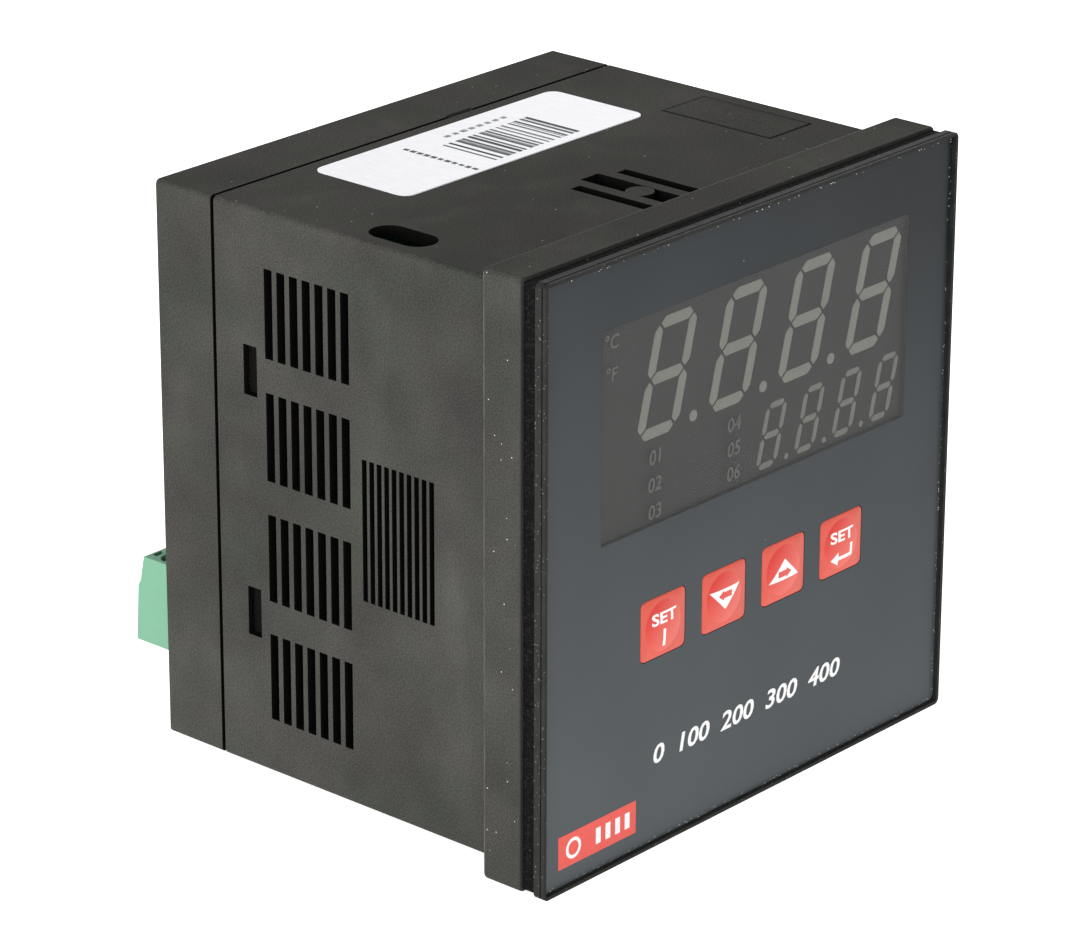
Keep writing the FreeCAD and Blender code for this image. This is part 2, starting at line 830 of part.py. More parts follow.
def make_clamp_ring():
    """Square ring that slides over the case from behind and holds the unit in the panel."""
    body = new_body("clamp_ring")
    ring = extrude(body, "ring", "Y", S.ring_gap, S.ring_depth,
                   lambda sketch: draw_centred(sketch, bezel_size, bezel_size))
    ring = round_edges(body, ring, "ring_corners", S.bezel_corner, corner_edges(bezel_half, bezel_half))
    bevel_edges(body, ring, "ring_rear_edge", S.ring_edge,
                lambda edge: near(edge.BoundBox.YMin, S.ring_gap + S.ring_depth))
    inner = S.case_size + S.ring_fit * 2
    extrude(body, "case_passage", "Y", S.ring_gap, S.ring_depth,
            lambda sketch: draw_centred(sketch, inner, inner), cut=True)


# ---------------------------------------------------------------------------------------------
# Main case
# ---------------------------------------------------------------------------------------------

def make_main_case():
    """Square tube open at both ends, with vents, latch windows, spring latches and board guides."""
    body = new_body("main_case")
    length = S.case_rear - bezel_back
    tube = extrude(body, "tube", "Y", bezel_back, length,
                   lambda sketch: draw_centred(sketch, S.case_size, S.case_size))
    round_edges(body, tube, "tube_corners", S.case_corner, corner_edges(case_half, case_half))
    extrude(body, "inside", "Y", bezel_back, length,
            lambda sketch: draw_centred(sketch, case_inner * 2, case_inner * 2), cut=True)
    cut_side_openings(body)
    cut_spring_latches(body)
    cut_clamp_slots(body)
    cut_flaps(body)
    add_board_guides(body)


def add_board_guides(body):
    """Pairs of ribs on both side walls that the circuit boards slide between."""
    gap = S.board_thickness + S.board_gap * 2

    def guides(sketch):
        for left in (-case_inner, case_inner - S.guide_reach):
            for level in (board_level, -board_level):
                draw_rectangle(sketch, left, level + gap / 2, S.guide_reach, S.guide_wall)
                draw_rectangle(sketch, left, level - gap / 2 - S.guide_wall, S.guide_reach, S.guide_wall)
    front = S.chassis_board_front + S.guide_to_board_front
    rear = chassis_board_rear - S.guide_to_board_rear
    extrude(body, "board_guides", "Y", front, rear - front, guides)


def cut_side_openings(body):
    """Vents and latch windows through both side walls."""
    start, across = -case_half - S.overrun, S.case_size + S.overrun * 2
    groups = count(S.vent_groups)
    levels = [S.vent_group_pitch * (k - (groups - 1) / 2) for k in range(groups)]

    def vent_column(sketch):
        for level in levels:
            draw_rectangle(sketch, S.case_rear - S.vent_to_rear, level - S.vent_height / 2, S.vent_width, S.vent_height)
    column = extrude(body, "vent_column", "X", start, across, vent_column, cut=True)
    repeat(body, column, "vents", "Y", S.vent_pitch, S.vent_count)
    fine = extrude(body, "fine_vent", "X", start, across,
                   lambda sketch: draw_rectangle(sketch, S.case_rear - S.fine_vent_to_rear,
                                                 -S.fine_vent_height / 2, S.fine_vent_width,
                                                 S.fine_vent_height), cut=True)
    repeat(body, fine, "fine_vents", "Y", S.fine_vent_pitch, S.fine_vent_count)

    def latch_windows(sketch):
        for level in (board_level, -board_level):
            draw_rectangle(sketch, latch_window_front, level - S.latch_window_height / 2,
                           S.latch_window_depth, S.latch_window_height)
    extrude(body, "latch_windows", "X", start, across, latch_windows, cut=True)


def cut_spring_latches(body):
    """Slots that free a spring arm at the top and the bottom, each arm with a round catch nib."""
    slot = S.spring_opening_width / 2 + S.spring_beam_width
    depth = S.case_wall + S.overrun * 2

    def spring_slots(sketch):
        for left in (-slot - S.spring_slot_width, slot):
            draw_rectangle(sketch, S.spring_latch_x + left, S.spring_latch_front,
                           S.spring_slot_width, S.spring_slot_length)
        draw_rectangle(sketch, S.spring_latch_x - S.spring_opening_width / 2, S.spring_latch_front,
                       S.spring_opening_width, S.spring_opening_length)

    def nib(sketch):
        draw_circle(sketch, nib_x, S.spring_nib_y, S.spring_nib_radius)
    for name, slot_start, nib_start in (
            ("top", case_inner - S.overrun, case_inner - S.spring_nib_drop),
            ("low", S.overrun - case_inner - depth, -case_half)):
        extrude(body, f"spring_slots_{name}", "Z", slot_start, depth, spring_slots, cut=True)
        extrude(body, f"spring_nib_{name}", "Z", nib_start, S.case_wall + S.spring_nib_drop, nib)


def cut_clamp_slots(body):
    """Slots for mounting clamps, top left and bottom right."""
    depth = S.case_wall + S.overrun * 2
    slot_x = case_half - S.clamp_slot_to_side
    for name, x, start in (("top", -slot_x, case_inner - S.overrun),
                           ("low", slot_x, S.overrun - case_inner - depth)):
        extrude(body, f"clamp_slot_{name}", "Z", start, depth,
                lambda sketch: draw_obround(sketch, x, S.clamp_slot_front, S.clamp_slot_length,
                                            S.clamp_slot_width), cut=True)


def cut_flaps(body):
    """Breakout flaps, top right and bottom left: a shallow step, with a slit on two of its sides."""
    outer = case_half - S.flap_to_side
    inner = outer - S.flap_width
    slit_inner = inner + S.flap_slit_width
    slit_rear = S.flap_front + S.flap_slit_width
    rear = S.flap_front + S.flap_length
    for name, side, step_start, slit_start in (
            ("top", 1, case_half - S.flap_step, case_half - S.flap_slit_depth),
            ("low", -1, -case_half, -case_half)):
        left = inner if side > 0 else -outer
        slit = [(inner, S.flap_front), (outer, S.flap_front), (outer, slit_rear),
                (slit_inner, slit_rear), (slit_inner, rear), (inner, rear)]
        extrude(body, f"flap_{name}", "Z", step_start, S.flap_step,
                lambda sketch: draw_rectangle(sketch, left, S.flap_front, S.flap_width,
                                              S.flap_length), cut=True)
        extrude(body, f"flap_slit_{name}", "Z", slit_start, S.flap_slit_depth,
                lambda sketch: draw_polygon(sketch, [(x * side, y) for x, y in slit]), cut=True)


def make_top_label():
    """Blank label on the top face."""
    body = new_body("top_label")
    sheet = extrude(body, "sheet", "Z", case_half, S.label_thickness,
                    lambda sketch: draw_rectangle(sketch, S.label_x - S.label_width / 2,
                                                  S.case_rear - S.label_to_rear, S.label_width,
                                                  S.label_length))
    round_edges(body, sheet, "corners", S.label_corner, lambda edge: runs_along(edge, "Z"))


# ---------------------------------------------------------------------------------------------
# Rear cover
# ---------------------------------------------------------------------------------------------

def make_rear_cover():
    """Cap that plugs into the case with a skirt and four side hooks, open for the terminal headers."""
    body = new_body("rear_cover")
    cap = extrude(body, "cap", "Y", cover_front, S.cover_depth,
                  lambda sketch: draw_centred(sketch, S.case_size, S.case_size))
    round_edges(body, cap, "cap_corners", S.case_corner, corner_edges(case_half, case_half))
    skirt_front = cover_front - S.skirt_length
    lip_back = cover_front + S.cover_lip
    inside_back = cover_rear - S.cover_wall
    extrude(body, "skirt", "Y", skirt_front, S.skirt_length,
            lambda sketch: draw_centred(sketch, collar_outer * 2, collar_outer * 2))
    extrude(body, "skirt_inside", "Y", skirt_front, lip_back - skirt_front,
            lambda sketch: draw_centred(sketch, skirt_inner * 2, skirt_inner * 2), cut=True)
    cap_inside = case_half - S.cover_wall
    extrude(body, "cap_inside", "Y", lip_back, inside_back - lip_back,
            lambda sketch: draw_centred(sketch, cap_inside * 2, cap_inside * 2), cut=True)
    add_side_hooks(body, skirt_front)

    def bosses(sketch):
        for x, z in boss_points():
            draw_circle(sketch, x, z, S.boss_radius)
    extrude(body, "board_bosses", "Y", terminal_board_back, inside_back - terminal_board_back, bosses)

    def pilots(sketch):
        for x, z in boss_points():
            draw_circle(sketch, x, z, S.pilot_radius)
    extrude(body, "board_pilots", "Y", terminal_board_back, S.board_screw_length, pilots, cut=True)
    opening_width = plug_width * 2 + S.header_opening_fit * 2
    opening_height = header_height + S.header_opening_fit * 2
    extrude(body, "header_opening", "Y", inside_back, S.cover_wall,
            lambda sketch: draw_centred(sketch, opening_width, opening_height, 0, contact_z), cut=True)
    extrude(body, "seam_notch", "Y", cover_front, S.notch_size,
            lambda sketch: draw_rectangle(sketch, S.notch_left, case_half - S.notch_size, S.notch_width,
                                          S.notch_size), cut=True)


def add_side_hooks(body, skirt_front):
    """Four spring tongues with hooks that reach out into the case's latch windows."""
    hook_height = S.latch_window_height - S.hook_clearance * 2
    tongue_front_y = skirt_front - S.tongue_length

    def tongues(sketch):
        for level in (board_level, -board_level):
            draw_rectangle(sketch, tongue_front_y, level - hook_height / 2, S.tongue_length, hook_height)

    def hooks(sketch):
        for level in (board_level, -board_level):
            draw_rectangle(sketch, latch_window_front + S.hook_clearance, level - hook_height / 2,
                           S.latch_window_depth - S.hook_clearance * 2, hook_height)
    hook_outer = case_half - S.hook_recess
    left_tongues = extrude(body, "tongues", "X", -collar_outer, S.skirt_wall, tongues)
    left_hooks = extrude(body, "hooks", "X", -hook_outer, hook_outer - skirt_inner, hooks)
    mirror(body, [left_tongues, left_hooks], "side_latches", "YZ_Plane")


# ---------------------------------------------------------------------------------------------
# Terminal row: two fixed headers with pins, two plugs that pull out to the rear
# ---------------------------------------------------------------------------------------------

def pole_x(side, pole):
    """Centre of a pole; side is -1 for the left plug and +1 for the right one."""
    poles = count(pole_count)
    return S.pole_pitch * (side * poles / 2 + pole - (poles - 1) / 2)


def row_centre(side):
    """Centre of one plug or header along the row."""
    return plug_width * (side / 2)


def make_header(side, name):
    """Fixed terminal header, open to the rear, standing on the terminal board."""
    body = new_body(name)
    width = plug_width - S.plug_gap
    extrude(body, "block", "Y", terminal_board_back, cover_rear - terminal_board_back,
            lambda sketch: draw_centred(sketch, width, header_height, row_centre(side), contact_z))
    socket_front = terminal_board_back + S.header_floor
    extrude(body, "socket", "Y", socket_front, cover_rear - socket_front,
            lambda sketch: draw_centred(sketch, width - S.header_wall * 2,
                                        header_height - S.header_wall * 2,
                                        row_centre(side), contact_z), cut=True)
    hole = extrude(body, "pin_hole", "Y", terminal_board_back, S.header_floor,
                   lambda sketch: draw_centred(sketch, S.pin_size, S.pin_size, pole_x(side, 0),
                                               contact_z), cut=True)
    repeat(body, hole, "pin_holes", "X", S.pole_pitch, pole_count)


def make_header_pins(side, name):
    """Square pins through the board and the header's floor."""
    pin_front = terminal_board_front - S.pin_tail
    pin_length = terminal_board_back + S.header_floor + S.pin_reach - pin_front
    group(name, [centred_box(f"{name}_{pole}", pole_x(side, pole), pin_front, contact_z, S.pin_size,
                             pin_length, S.pin_size) for pole in range(count(pole_count))])


def make_plug_housing(side, name):
    """Plug-in terminal housing: stepped side profile, contact tongue, wire chambers, screw holes."""
    body = new_body(name)
    width = plug_width - S.plug_gap
    step_top = plug_top - S.plug_step_top

    def profile(sketch):
        draw_polygon(sketch, [(plug_front, plug_bottom), (plug_rear, plug_bottom),
                              (plug_rear - S.plug_step_below, step_top - S.plug_step_height),
                              (plug_rear - S.plug_step_above, step_top),
                              (plug_rear - S.plug_top_setback, plug_top), (plug_front, plug_top)])
    extrude(body, "housing", "X", row_centre(side) - width / 2, width, profile)
    tongue_width = width - S.header_wall * 2 - S.header_fit * 2
    extrude(body, "tongue", "Y", tongue_front, plug_front - tongue_front,
            lambda sketch: draw_centred(sketch, tongue_width, S.tongue_height, row_centre(side),
                                        contact_z))
    first = pole_x(side, 0)
    bore = extrude(body, "contact_bore", "Y", tongue_front, chamber_front - tongue_front,
                   lambda sketch: draw_centred(sketch, S.contact_bore, S.contact_bore, first, contact_z),
                   cut=True)
    repeat(body, bore, "contact_bores", "X", S.pole_pitch, pole_count)
    chamber = extrude(body, "wire_chamber", "Y", chamber_front, plug_rear - chamber_front,
                      lambda sketch: draw_centred(sketch, S.chamber_width, S.chamber_height, first,
                                                  chamber_z), cut=True)
    repeat(body, chamber, "wire_chambers", "X", S.pole_pitch, pole_count)
    screw_hole = extrude(body, "screw_hole", "Z", chamber_z, plug_top - chamber_z,
                         lambda sketch: draw_circle(sketch, first, terminal_y, S.terminal_hole_radius),
                         cut=True)
    repeat(body, screw_hole, "screw_holes", "X", S.pole_pitch, pole_count)
    test_slot = extrude(body, "test_slot", "Z", plug_top - S.test_slot_depth, S.test_slot_depth,
                        lambda sketch: draw_centred(sketch, S.test_slot_width, S.test_slot_length, first,
                                                    plug_rear - S.test_slot_to_rear), cut=True)
    repeat(body, test_slot, "test_slots", "X", S.pole_pitch, pole_count)


def make_plug_cages(side, name):
    """Wire clamp cages, one in each chamber, with a threaded head for the screw."""
    outer_width = S.chamber_width - S.contact_gap * 2
    outer_height = S.chamber_height - S.contact_gap * 2
    low = chamber_z - outer_height / 2
    front = terminal_y - S.cage_depth / 2
    cages = []
    for pole in range(count(pole_count)):
        x = pole_x(side, pole)
        left = x - outer_width / 2
        block = box(f"{name}_block_{pole}", left, front, low, outer_width, S.cage_depth, outer_height)
        window = box(f"{name}_window_{pole}", left + S.cage_wall, front - S.overrun, low + S.cage_wall,
                     outer_width - S.cage_wall * 2, S.cage_depth + S.overrun * 2,
                     outer_height - S.cage_wall - S.cage_head)
        thread = cylinder(f"{name}_thread_{pole}", "Z", x, terminal_y,
                          low + outer_height - S.cage_head - S.overrun, S.terminal_screw_radius,
                          S.cage_head + S.overrun * 2)
        cages.append(cut(f"{name}_{pole}", block, [window, thread]))
    group(name, cages)


def make_plug_screws(side, name):
    """Slotted terminal screws, heads sunk below the plug's top."""
    head_top = plug_top - S.terminal_head_sunk
    shank_low = chamber_z + S.chamber_height / 2 - S.contact_gap - S.cage_head - S.driver_slot_depth
    screws = []
    for pole in range(count(pole_count)):
        x = pole_x(side, pole)
        head = cylinder(f"{name}_head_{pole}", "Z", x, terminal_y, head_top - S.terminal_head_height,
                        S.terminal_head_radius, S.terminal_head_height)
        shank = cylinder(f"{name}_shank_{pole}", "Z", x, terminal_y, shank_low, S.terminal_screw_radius,
                         head_top - S.terminal_head_height / 2 - shank_low)
        slot = box(f"{name}_slot_{pole}", x - S.terminal_head_radius - S.overrun,
                   terminal_y - S.driver_slot_width / 2, head_top - S.driver_slot_depth,
                   (S.terminal_head_radius + S.overrun) * 2, S.driver_slot_width,
                   S.driver_slot_depth + S.overrun)
        screws.append(cut(f"{name}_{pole}", fuse(f"{name}_blank_{pole}", [head, shank]), [slot]))
    group(name, screws)


def make_plug_contacts(side, name):
    """Square spring sockets between the tongue's face and the wire clamps."""
    outer = S.contact_bore - S.contact_gap * 2
    inner = outer - S.contact_wall * 2
    front = tongue_front + S.contact_gap
    length = terminal_y - S.cage_depth / 2 - front
    contacts = []
    for pole in range(count(pole_count)):
        x = pole_x(side, pole)
        tube = centred_box(f"{name}_tube_{pole}", x, front, contact_z, outer, length, outer)
        inside = centred_box(f"{name}_inside_{pole}", x, front, contact_z, inner,
                             length - S.contact_floor, inner)
        contacts.append(cut(f"{name}_{pole}", tube, [inside]))
    group(name, contacts)


# ---------------------------------------------------------------------------------------------
# Displays
# ---------------------------------------------------------------------------------------------

def segment_outlines(left, bottom, width, height, bar):
    """The seven slanted segment outlines of one digit, as lists of (x, z) points."""
    half = bar / 2
    levels = (bottom + half, bottom + height / 2, bottom + height - half)
    columns = (left + half, left + width - half)

    def slanted(points):
        return [(x + (z - bottom) * S.digit_slant, z) for x, z in points]

    def level_bar(z):
        low, high = columns[0] + S.segment_gap, columns[1] - S.segment_gap
        return slanted([(low, z), (low + half, z - half), (high - half, z - half), (high, z),
                        (high - half, z + half), (low + half, z + half)])

    def upright_bar(x, low, high):
        low, high = low + S.segment_gap, high - S.segment_gap
        return slanted([(x, low), (x + half, low + half), (x + half, high - half), (x, high),
                        (x - half, high - half), (x - half, low + half)])
    outlines = [level_bar(z) for z in levels]
    outlines += [upright_bar(x, low, high) for x in columns for low, high in zip(levels, levels[1:])]
    return outlines


def make_display(word, bottom, pitch, width, height, bar, point_offset):
    """One display block and the segments and decimal points on its face."""
    slant = height * S.digit_slant
    row = pitch * (S.digit_count - 1) + width + slant
    left = window_right - S.digit_to_window - row
    body = new_body(f"{word}_digits")
    front = display_front - S.segment_depth

    def digit(sketch):
        for outline in segment_outlines(left, bottom, width, height, bar):
            draw_polygon(sketch, outline)
    first = extrude(body, "digit", "Y", front, S.segment_depth, digit)
    repeat(body, first, "digits", "X", pitch, S.digit_count)
    point = extrude(body, "point", "Y", front, S.segment_depth,
                    lambda sketch: draw_circle(sketch, left + point_offset, bottom + bar / 2, bar / 2))
    repeat(body, point, "points", "X", pitch, S.digit_count - 1)
    block = box(f"{word}_display", left - S.digit_margin_x, display_front, bottom - S.digit_margin_z,
                row + S.digit_margin_x * 2, S.display_depth, height + S.digit_margin_z * 2)
    finish(block, f"{word}_display")


def make_displays():
    """The upper display with large digits and the lower one with small digits."""
    large_bottom = window_top - S.large_digit_to_top - S.large_digit_height
    make_display("large", large_bottom, S.large_digit_pitch, S.large_digit_width, S.large_digit_height,
                 S.large_segment, S.large_point_offset)
    make_display("small", window_bottom + S.small_digit_to_bottom, S.small_digit_pitch,
                 S.small_digit_width, S.small_digit_height, S.small_segment, S.small_point_offset)


def make_indicator_lamps():
    """Two columns of round indicator lamps beside the lower display."""
    small_row = S.small_digit_pitch * (S.digit_count - 1) + S.small_digit_width
    small_row = small_row + S.small_digit_height * S.digit_slant
    columns = (window_left + S.lamp_to_left, window_right - S.digit_to_window - small_row - S.lamp_to_digits)
    lamps = []
    for column, x in enumerate(columns):
        for row in range(count(S.lamp_rows)):
            lamps.append(cylinder(f"lamp_{column}_{row}", "Y", x, display_front,
                                  window_bottom + S.lamp_to_bottom + S.lamp_pitch * row,
                                  S.lamp_radius, S.display_depth))
    group("indicator_lamps", lamps)


# ---------------------------------------------------------------------------------------------
# Circuit boards, their screws and connectors
# ---------------------------------------------------------------------------------------------

def make_upright_board(name, front, half):
    """A board square to Y with a screw hole at each corner; half is its half-width."""
    body = new_body(name)
    extrude(body, "board", "Y", front, S.board_thickness,
            lambda sketch: draw_centred(sketch, half * 2, half * 2))

    def holes(sketch):
        for x, z in boss_points():
            draw_circle(sketch, x, z, S.board_hole_radius)
    extrude(body, "screw_holes", "Y", front, S.board_thickness, holes, cut=True)
    return body


def make_display_board():
    """Board behind the bezel that carries the displays, lamps and switches."""
    make_upright_board("display_board", display_board_front, collar_inner - S.board_gap)


def make_terminal_board():
    """Board in the rear cover that carries the two terminal headers."""
    body = make_upright_board("terminal_board", terminal_board_front, skirt_inner - S.board_gap)
    hole = extrude(body, "pin_hole", "Y", terminal_board_front, S.board_thickness,
                   lambda sketch: draw_centred(sketch, S.pin_size, S.pin_size, pole_x(-1, 0), contact_z),
                   cut=True)
    repeat(body, hole, "pin_holes", "X", S.pole_pitch, pole_count * 2)


def make_board_screws(name, seat, towards):
    """Four pan head screws at the corners of a board; towards is the sign of Y they point to."""
    screws = []
    for index, (x, z) in enumerate(boss_points()):
        label = f"{name}_{index}"
        if towards > 0:
            head = cylinder(f"{label}_head", "Y", x, seat - S.board_screw_head_height, z,
                            S.board_screw_head, S.board_screw_head_height)
            shank = cylinder(f"{label}_shank", "Y", x, seat - S.board_screw_head_height / 2, z,
                             S.board_screw_radius, S.board_screw_length + S.board_screw_head_height / 2)
        else:
            head = cylinder(f"{label}_head", "Y", x, seat, z, S.board_screw_head,
                            S.board_screw_head_height)
            shank = cylinder(f"{label}_shank", "Y", x, seat - S.board_screw_length, z,
                             S.board_screw_radius, S.board_screw_length + S.board_screw_head_height / 2)
        screws.append(fuse(label, [head, shank]))
    group(name, screws)


def make_chassis_board(name, level):
    """A board that slides in the case's guide ribs, with an isolation slot."""
    body = new_body(name)
    low = level - S.board_thickness / 2
    extrude(body, "board", "Z", low, S.board_thickness,
            lambda sketch: draw_rectangle(sketch, -chassis_board_half, S.chassis_board_front,
                                          chassis_board_half * 2,
                                          chassis_board_rear - S.chassis_board_front))
    slot_front = chassis_board_rear - S.isolation_slot_to_rear - S.isolation_slot_length
    extrude(body, "isolation_slot", "Z", low, S.board_thickness,
            lambda sketch: draw_obround(sketch, S.isolation_slot_x, slot_front, S.isolation_slot_length,
                                        S.isolation_slot_width), cut=True)


def make_board_connectors(name, front, length):
    """Connector housings on both chassis boards that join them to an upright board."""
    connectors = []
    half = S.board_thickness / 2
    for label, low in (("upper", board_level + half), ("lower", -board_level - half - S.connector_height)):
        housing = box(f"{name}_{label}_housing", -S.connector_width / 2, front, low, S.connector_width,
                      length, S.connector_height)
        wall = S.connector_wall
        inside = box(f"{name}_{label}_inside", wall - S.connector_width / 2, front + wall,
                     low + (wall if label == "upper" else -S.overrun), S.connector_width - wall * 2,
                     length - wall * 2, S.connector_height - wall + S.overrun)
        connectors.append(cut(f"{name}_{label}", housing, [inside]))
    group(name, connectors)


# ---------------------------------------------------------------------------------------------
# Parts on the power board and the control board
# ---------------------------------------------------------------------------------------------

power_top = S.board_thickness / 2 - board_level
control_top = S.board_thickness / 2 + board_level


def make_transformer():
    """Laminated core with two windows and the winding on its centre leg."""
    x, y = S.transformer_to_left - chassis_board_half, S.transformer_y
    core = centred_in_plan("transformer_core_block", x, y, power_top, S.core_width, S.core_depth,
                           S.core_height)
    gap_height = S.core_height - S.core_leg * 2
    gap_width = S.core_width / 2 - S.core_leg * 2
    windows = [centred_in_plan(f"transformer_core_window_{sign}",
                               x + (S.core_leg + gap_width / 2) * sign, y, power_top + S.core_leg,
                               gap_width, S.core_depth + S.overrun * 2, gap_height)
               for sign in (-1, 1)]
    finish(cut("transformer_core", core, windows), "transformer_core")
    coil = centred_in_plan("transformer_coil", x, y, power_top + S.core_leg,
                           S.core_leg * 2 + gap_width * 2, S.core_depth + S.coil_bulge * 2,
                           gap_height)
    leg = centred_in_plan("transformer_leg", x, y, power_top + S.core_leg, S.core_leg * 2,
                          S.core_depth, gap_height)
    finish(cut("transformer_winding", coil, [leg]), "transformer_winding")


def centred_in_plan(name, x, y, z, dx, dy, dz):
    """A block centred in X and Y on a point, from z towards +Z."""
    return box(name, Size.of(x) - Size.of(dx) / 2, Size.of(y) - Size.of(dy) / 2, z, dx, dy, dz)


def capacitor(name, x, y, radius, height):
    """A can on the power board, narrower in the crimped groove above its foot."""
    groove_top = S.can_foot + S.can_groove
    foot = cylinder(f"{name}_foot", "Z", x, y, power_top, radius, S.can_foot)
    neck = cylinder(f"{name}_neck", "Z", x, y, power_top, radius - S.can_neck, groove_top + S.overrun)
    can = cylinder(f"{name}_can", "Z", x, y, power_top + groove_top, radius, height - groove_top)
    return fuse(name, [foot, neck, can])


def make_capacitors():
    """The large mains capacitor and a row of output capacitors."""
    finish(capacitor("mains_capacitor", S.mains_can_to_left - chassis_board_half,
                     chassis_board_rear - S.mains_can_to_rear, S.mains_can_radius,
                     S.mains_can_height), "mains_capacitor")
    group("output_capacitors", [capacitor(f"output_capacitor_{k}", S.output_can_x,
                                          S.output_can_front + S.output_can_pitch * k,
                                          S.output_can_radius, S.output_can_height)
                                for k in range(count(S.output_can_count))])


def make_relay(name, y, width, depth, height):
    """A sealed relay near the right edge: a housing on a slightly wider base."""
    x = chassis_board_half - S.relay_to_right
    housing = centred_in_plan(f"{name}_housing", x, y, power_top, width, depth, height)
    base = centred_in_plan(f"{name}_base", x, y, power_top, width + S.relay_flange * 2,
                           depth + S.relay_flange * 2, S.relay_base)
    finish(fuse(name, [housing, base]), name)


def make_fuse():
    """Glass fuse with end caps, lying in two spring clips."""
    left = S.fuse_x - S.fuse_length / 2
    y = chassis_board_rear - S.fuse_to_rear
    level = power_top + S.fuse_lift
    cap_starts = (left, left + S.fuse_length - S.fuse_cap_length)
    tube = cylinder("fuse_tube", "X", left, y, level, S.fuse_radius - S.fuse_cap_step, S.fuse_length)
    caps = [cylinder(f"fuse_cap_{k}", "X", start, y, level, S.fuse_radius, S.fuse_cap_length)
            for k, start in enumerate(cap_starts)]
    finish(fuse("mains_fuse", [tube, *caps]), "mains_fuse")
    clips = []
    width = S.fuse_radius * 2 + S.fuse_clip_wall * 2
    mouth_width = (S.fuse_radius - S.fuse_clip_lip) * 2
    for k, start in enumerate(cap_starts):
        block = box(f"fuse_clip_block_{k}", start, y - width / 2, power_top, S.fuse_cap_length, width,
                    S.fuse_lift + S.fuse_radius / 2)
        seat = cylinder(f"fuse_clip_seat_{k}", "X", start, y, level, S.fuse_radius, S.fuse_cap_length)
        mouth = box(f"fuse_clip_mouth_{k}", start, y - mouth_width / 2, level, S.fuse_cap_length,
                    mouth_width, S.fuse_radius)
        clips.append(cut(f"fuse_clip_{k}", block, [seat, mouth]))
    group("fuse_clips", clips)


def make_small_power_parts():
    """Varistor, bridge rectifier and optocouplers."""
    varistor = cylinder("varistor", "X", S.varistor_to_left - chassis_board_half,
                        chassis_board_rear - S.varistor_to_rear, power_top + S.varistor_radius,
                        S.varistor_radius, S.varistor_thickness)
    finish(varistor, "varistor")
    bridge = centred_in_plan("bridge_rectifier", S.bridge_x, chassis_board_rear - S.bridge_to_rear,
                             power_top, S.bridge_width, S.bridge_depth, S.bridge_height)
    finish(bridge, "bridge_rectifier")
    last_x = chassis_board_half - S.opto_to_right
    group("optocouplers", [centred_in_plan(f"optocoupler_{k}", last_x - S.opto_pitch * k, S.opto_y,
                                           power_top, S.opto_width, S.opto_depth, S.opto_height)
                           for k in range(count(S.opto_count))])


def make_regulator():
    """Voltage regulator standing on the power board, with the eye of its metal tab on top."""
    x, y = S.regulator_x, S.regulator_y
    package = centred_in_plan("regulator_package", x, y, power_top, S.regulator_width,
                              S.regulator_depth, S.regulator_height)
    tab = box("regulator_tab", x - S.regulator_width / 2, y + S.regulator_depth / 2 - S.regulator_tab,
              power_top, S.regulator_width, S.regulator_tab, S.regulator_height + S.regulator_tab_height)
    eye = cylinder("regulator_eye", "Y", x, y, power_top + S.regulator_height + S.regulator_tab_height / 2,
                   S.regulator_eye_radius, S.regulator_depth)
    finish(cut("voltage_regulator", fuse("regulator_blank", [package, tab]), [eye]), "voltage_regulator")


def make_control_parts():
    """Microcontroller, crystal and signal chips on top of the control board."""
    chip = centred_in_plan("microcontroller", S.processor_x, S.processor_y, control_top,
                           S.processor_size, S.processor_size, S.processor_height)
    finish(chip, "microcontroller")
    middle = centred_in_plan("crystal_middle", S.crystal_x, S.crystal_y, control_top, S.crystal_length,
                             S.crystal_radius * 2, S.crystal_height)
    ends = [cylinder(f"crystal_end_{sign}", "Z", S.crystal_x + S.crystal_length / 2 * sign, S.crystal_y,
                     control_top, S.crystal_radius, S.crystal_height) for sign in (-1, 1)]
    finish(fuse("crystal", [middle, *ends]), "crystal")
    group("signal_chips", [centred_in_plan(f"signal_chip_{k}", S.signal_chip_x + S.signal_chip_pitch * k,
                                           S.signal_chip_y, control_top, S.signal_chip_width,
                                           S.signal_chip_depth, S.signal_chip_height)
                           for k in range(count(S.signal_chip_count))])


# ---------------------------------------------------------------------------------------------
# The whole controller
# ---------------------------------------------------------------------------------------------

def build():
    """Make every sub-part, from the front to the rear."""
    make_front_bezel()
    make_front_film()
    make_display_window()
    make_panel_gasket()
    for index, name in enumerate(KEY_NAMES):
        make_key(index, name)
    make_tact_switches()
    make_displays()
    make_indicator_lamps()
    make_display_board()
    make_board_screws("display_board_screws", display_board_back, -1)
    make_clamp_ring()
    make_main_case()
    make_top_label()
    make_chassis_board("power_board", -board_level)
    make_chassis_board("control_board", board_level)
    front_end = S.chassis_board_front + S.connector_overlap
    make_board_connectors("front_board_connectors", display_board_back, front_end - display_board_back)
    rear_end = chassis_board_rear - S.connector_overlap
    make_board_connectors("rear_board_connectors", rear_end, terminal_board_front - rear_end)
    make_transformer()
    make_capacitors()
    make_relay("output_relay", chassis_board_rear - S.output_relay_to_rear, S.output_relay_width,
               S.output_relay_depth, S.output_relay_height)
    make_relay("alarm_relay", S.alarm_relay_y, S.alarm_relay_width, S.alarm_relay_depth,
               S.alarm_relay_height)
    make_fuse()
    make_small_power_parts()
    make_regulator()
    make_control_parts()
    make_rear_cover()
    make_terminal_board()
    make_board_screws("terminal_board_screws", terminal_board_front, 1)
    for side, word in ((-1, "left"), (1, "right")):
        make_header(side, f"header_{word}")
        make_header_pins(side, f"header_pins_{word}")
        make_plug_housing(side, f"plug_{word}")
        make_plug_cages(side, f"plug_cages_{word}")
        make_plug_screws(side, f"plug_screws_{word}")
        make_plug_contacts(side, f"plug_contacts_{word}")


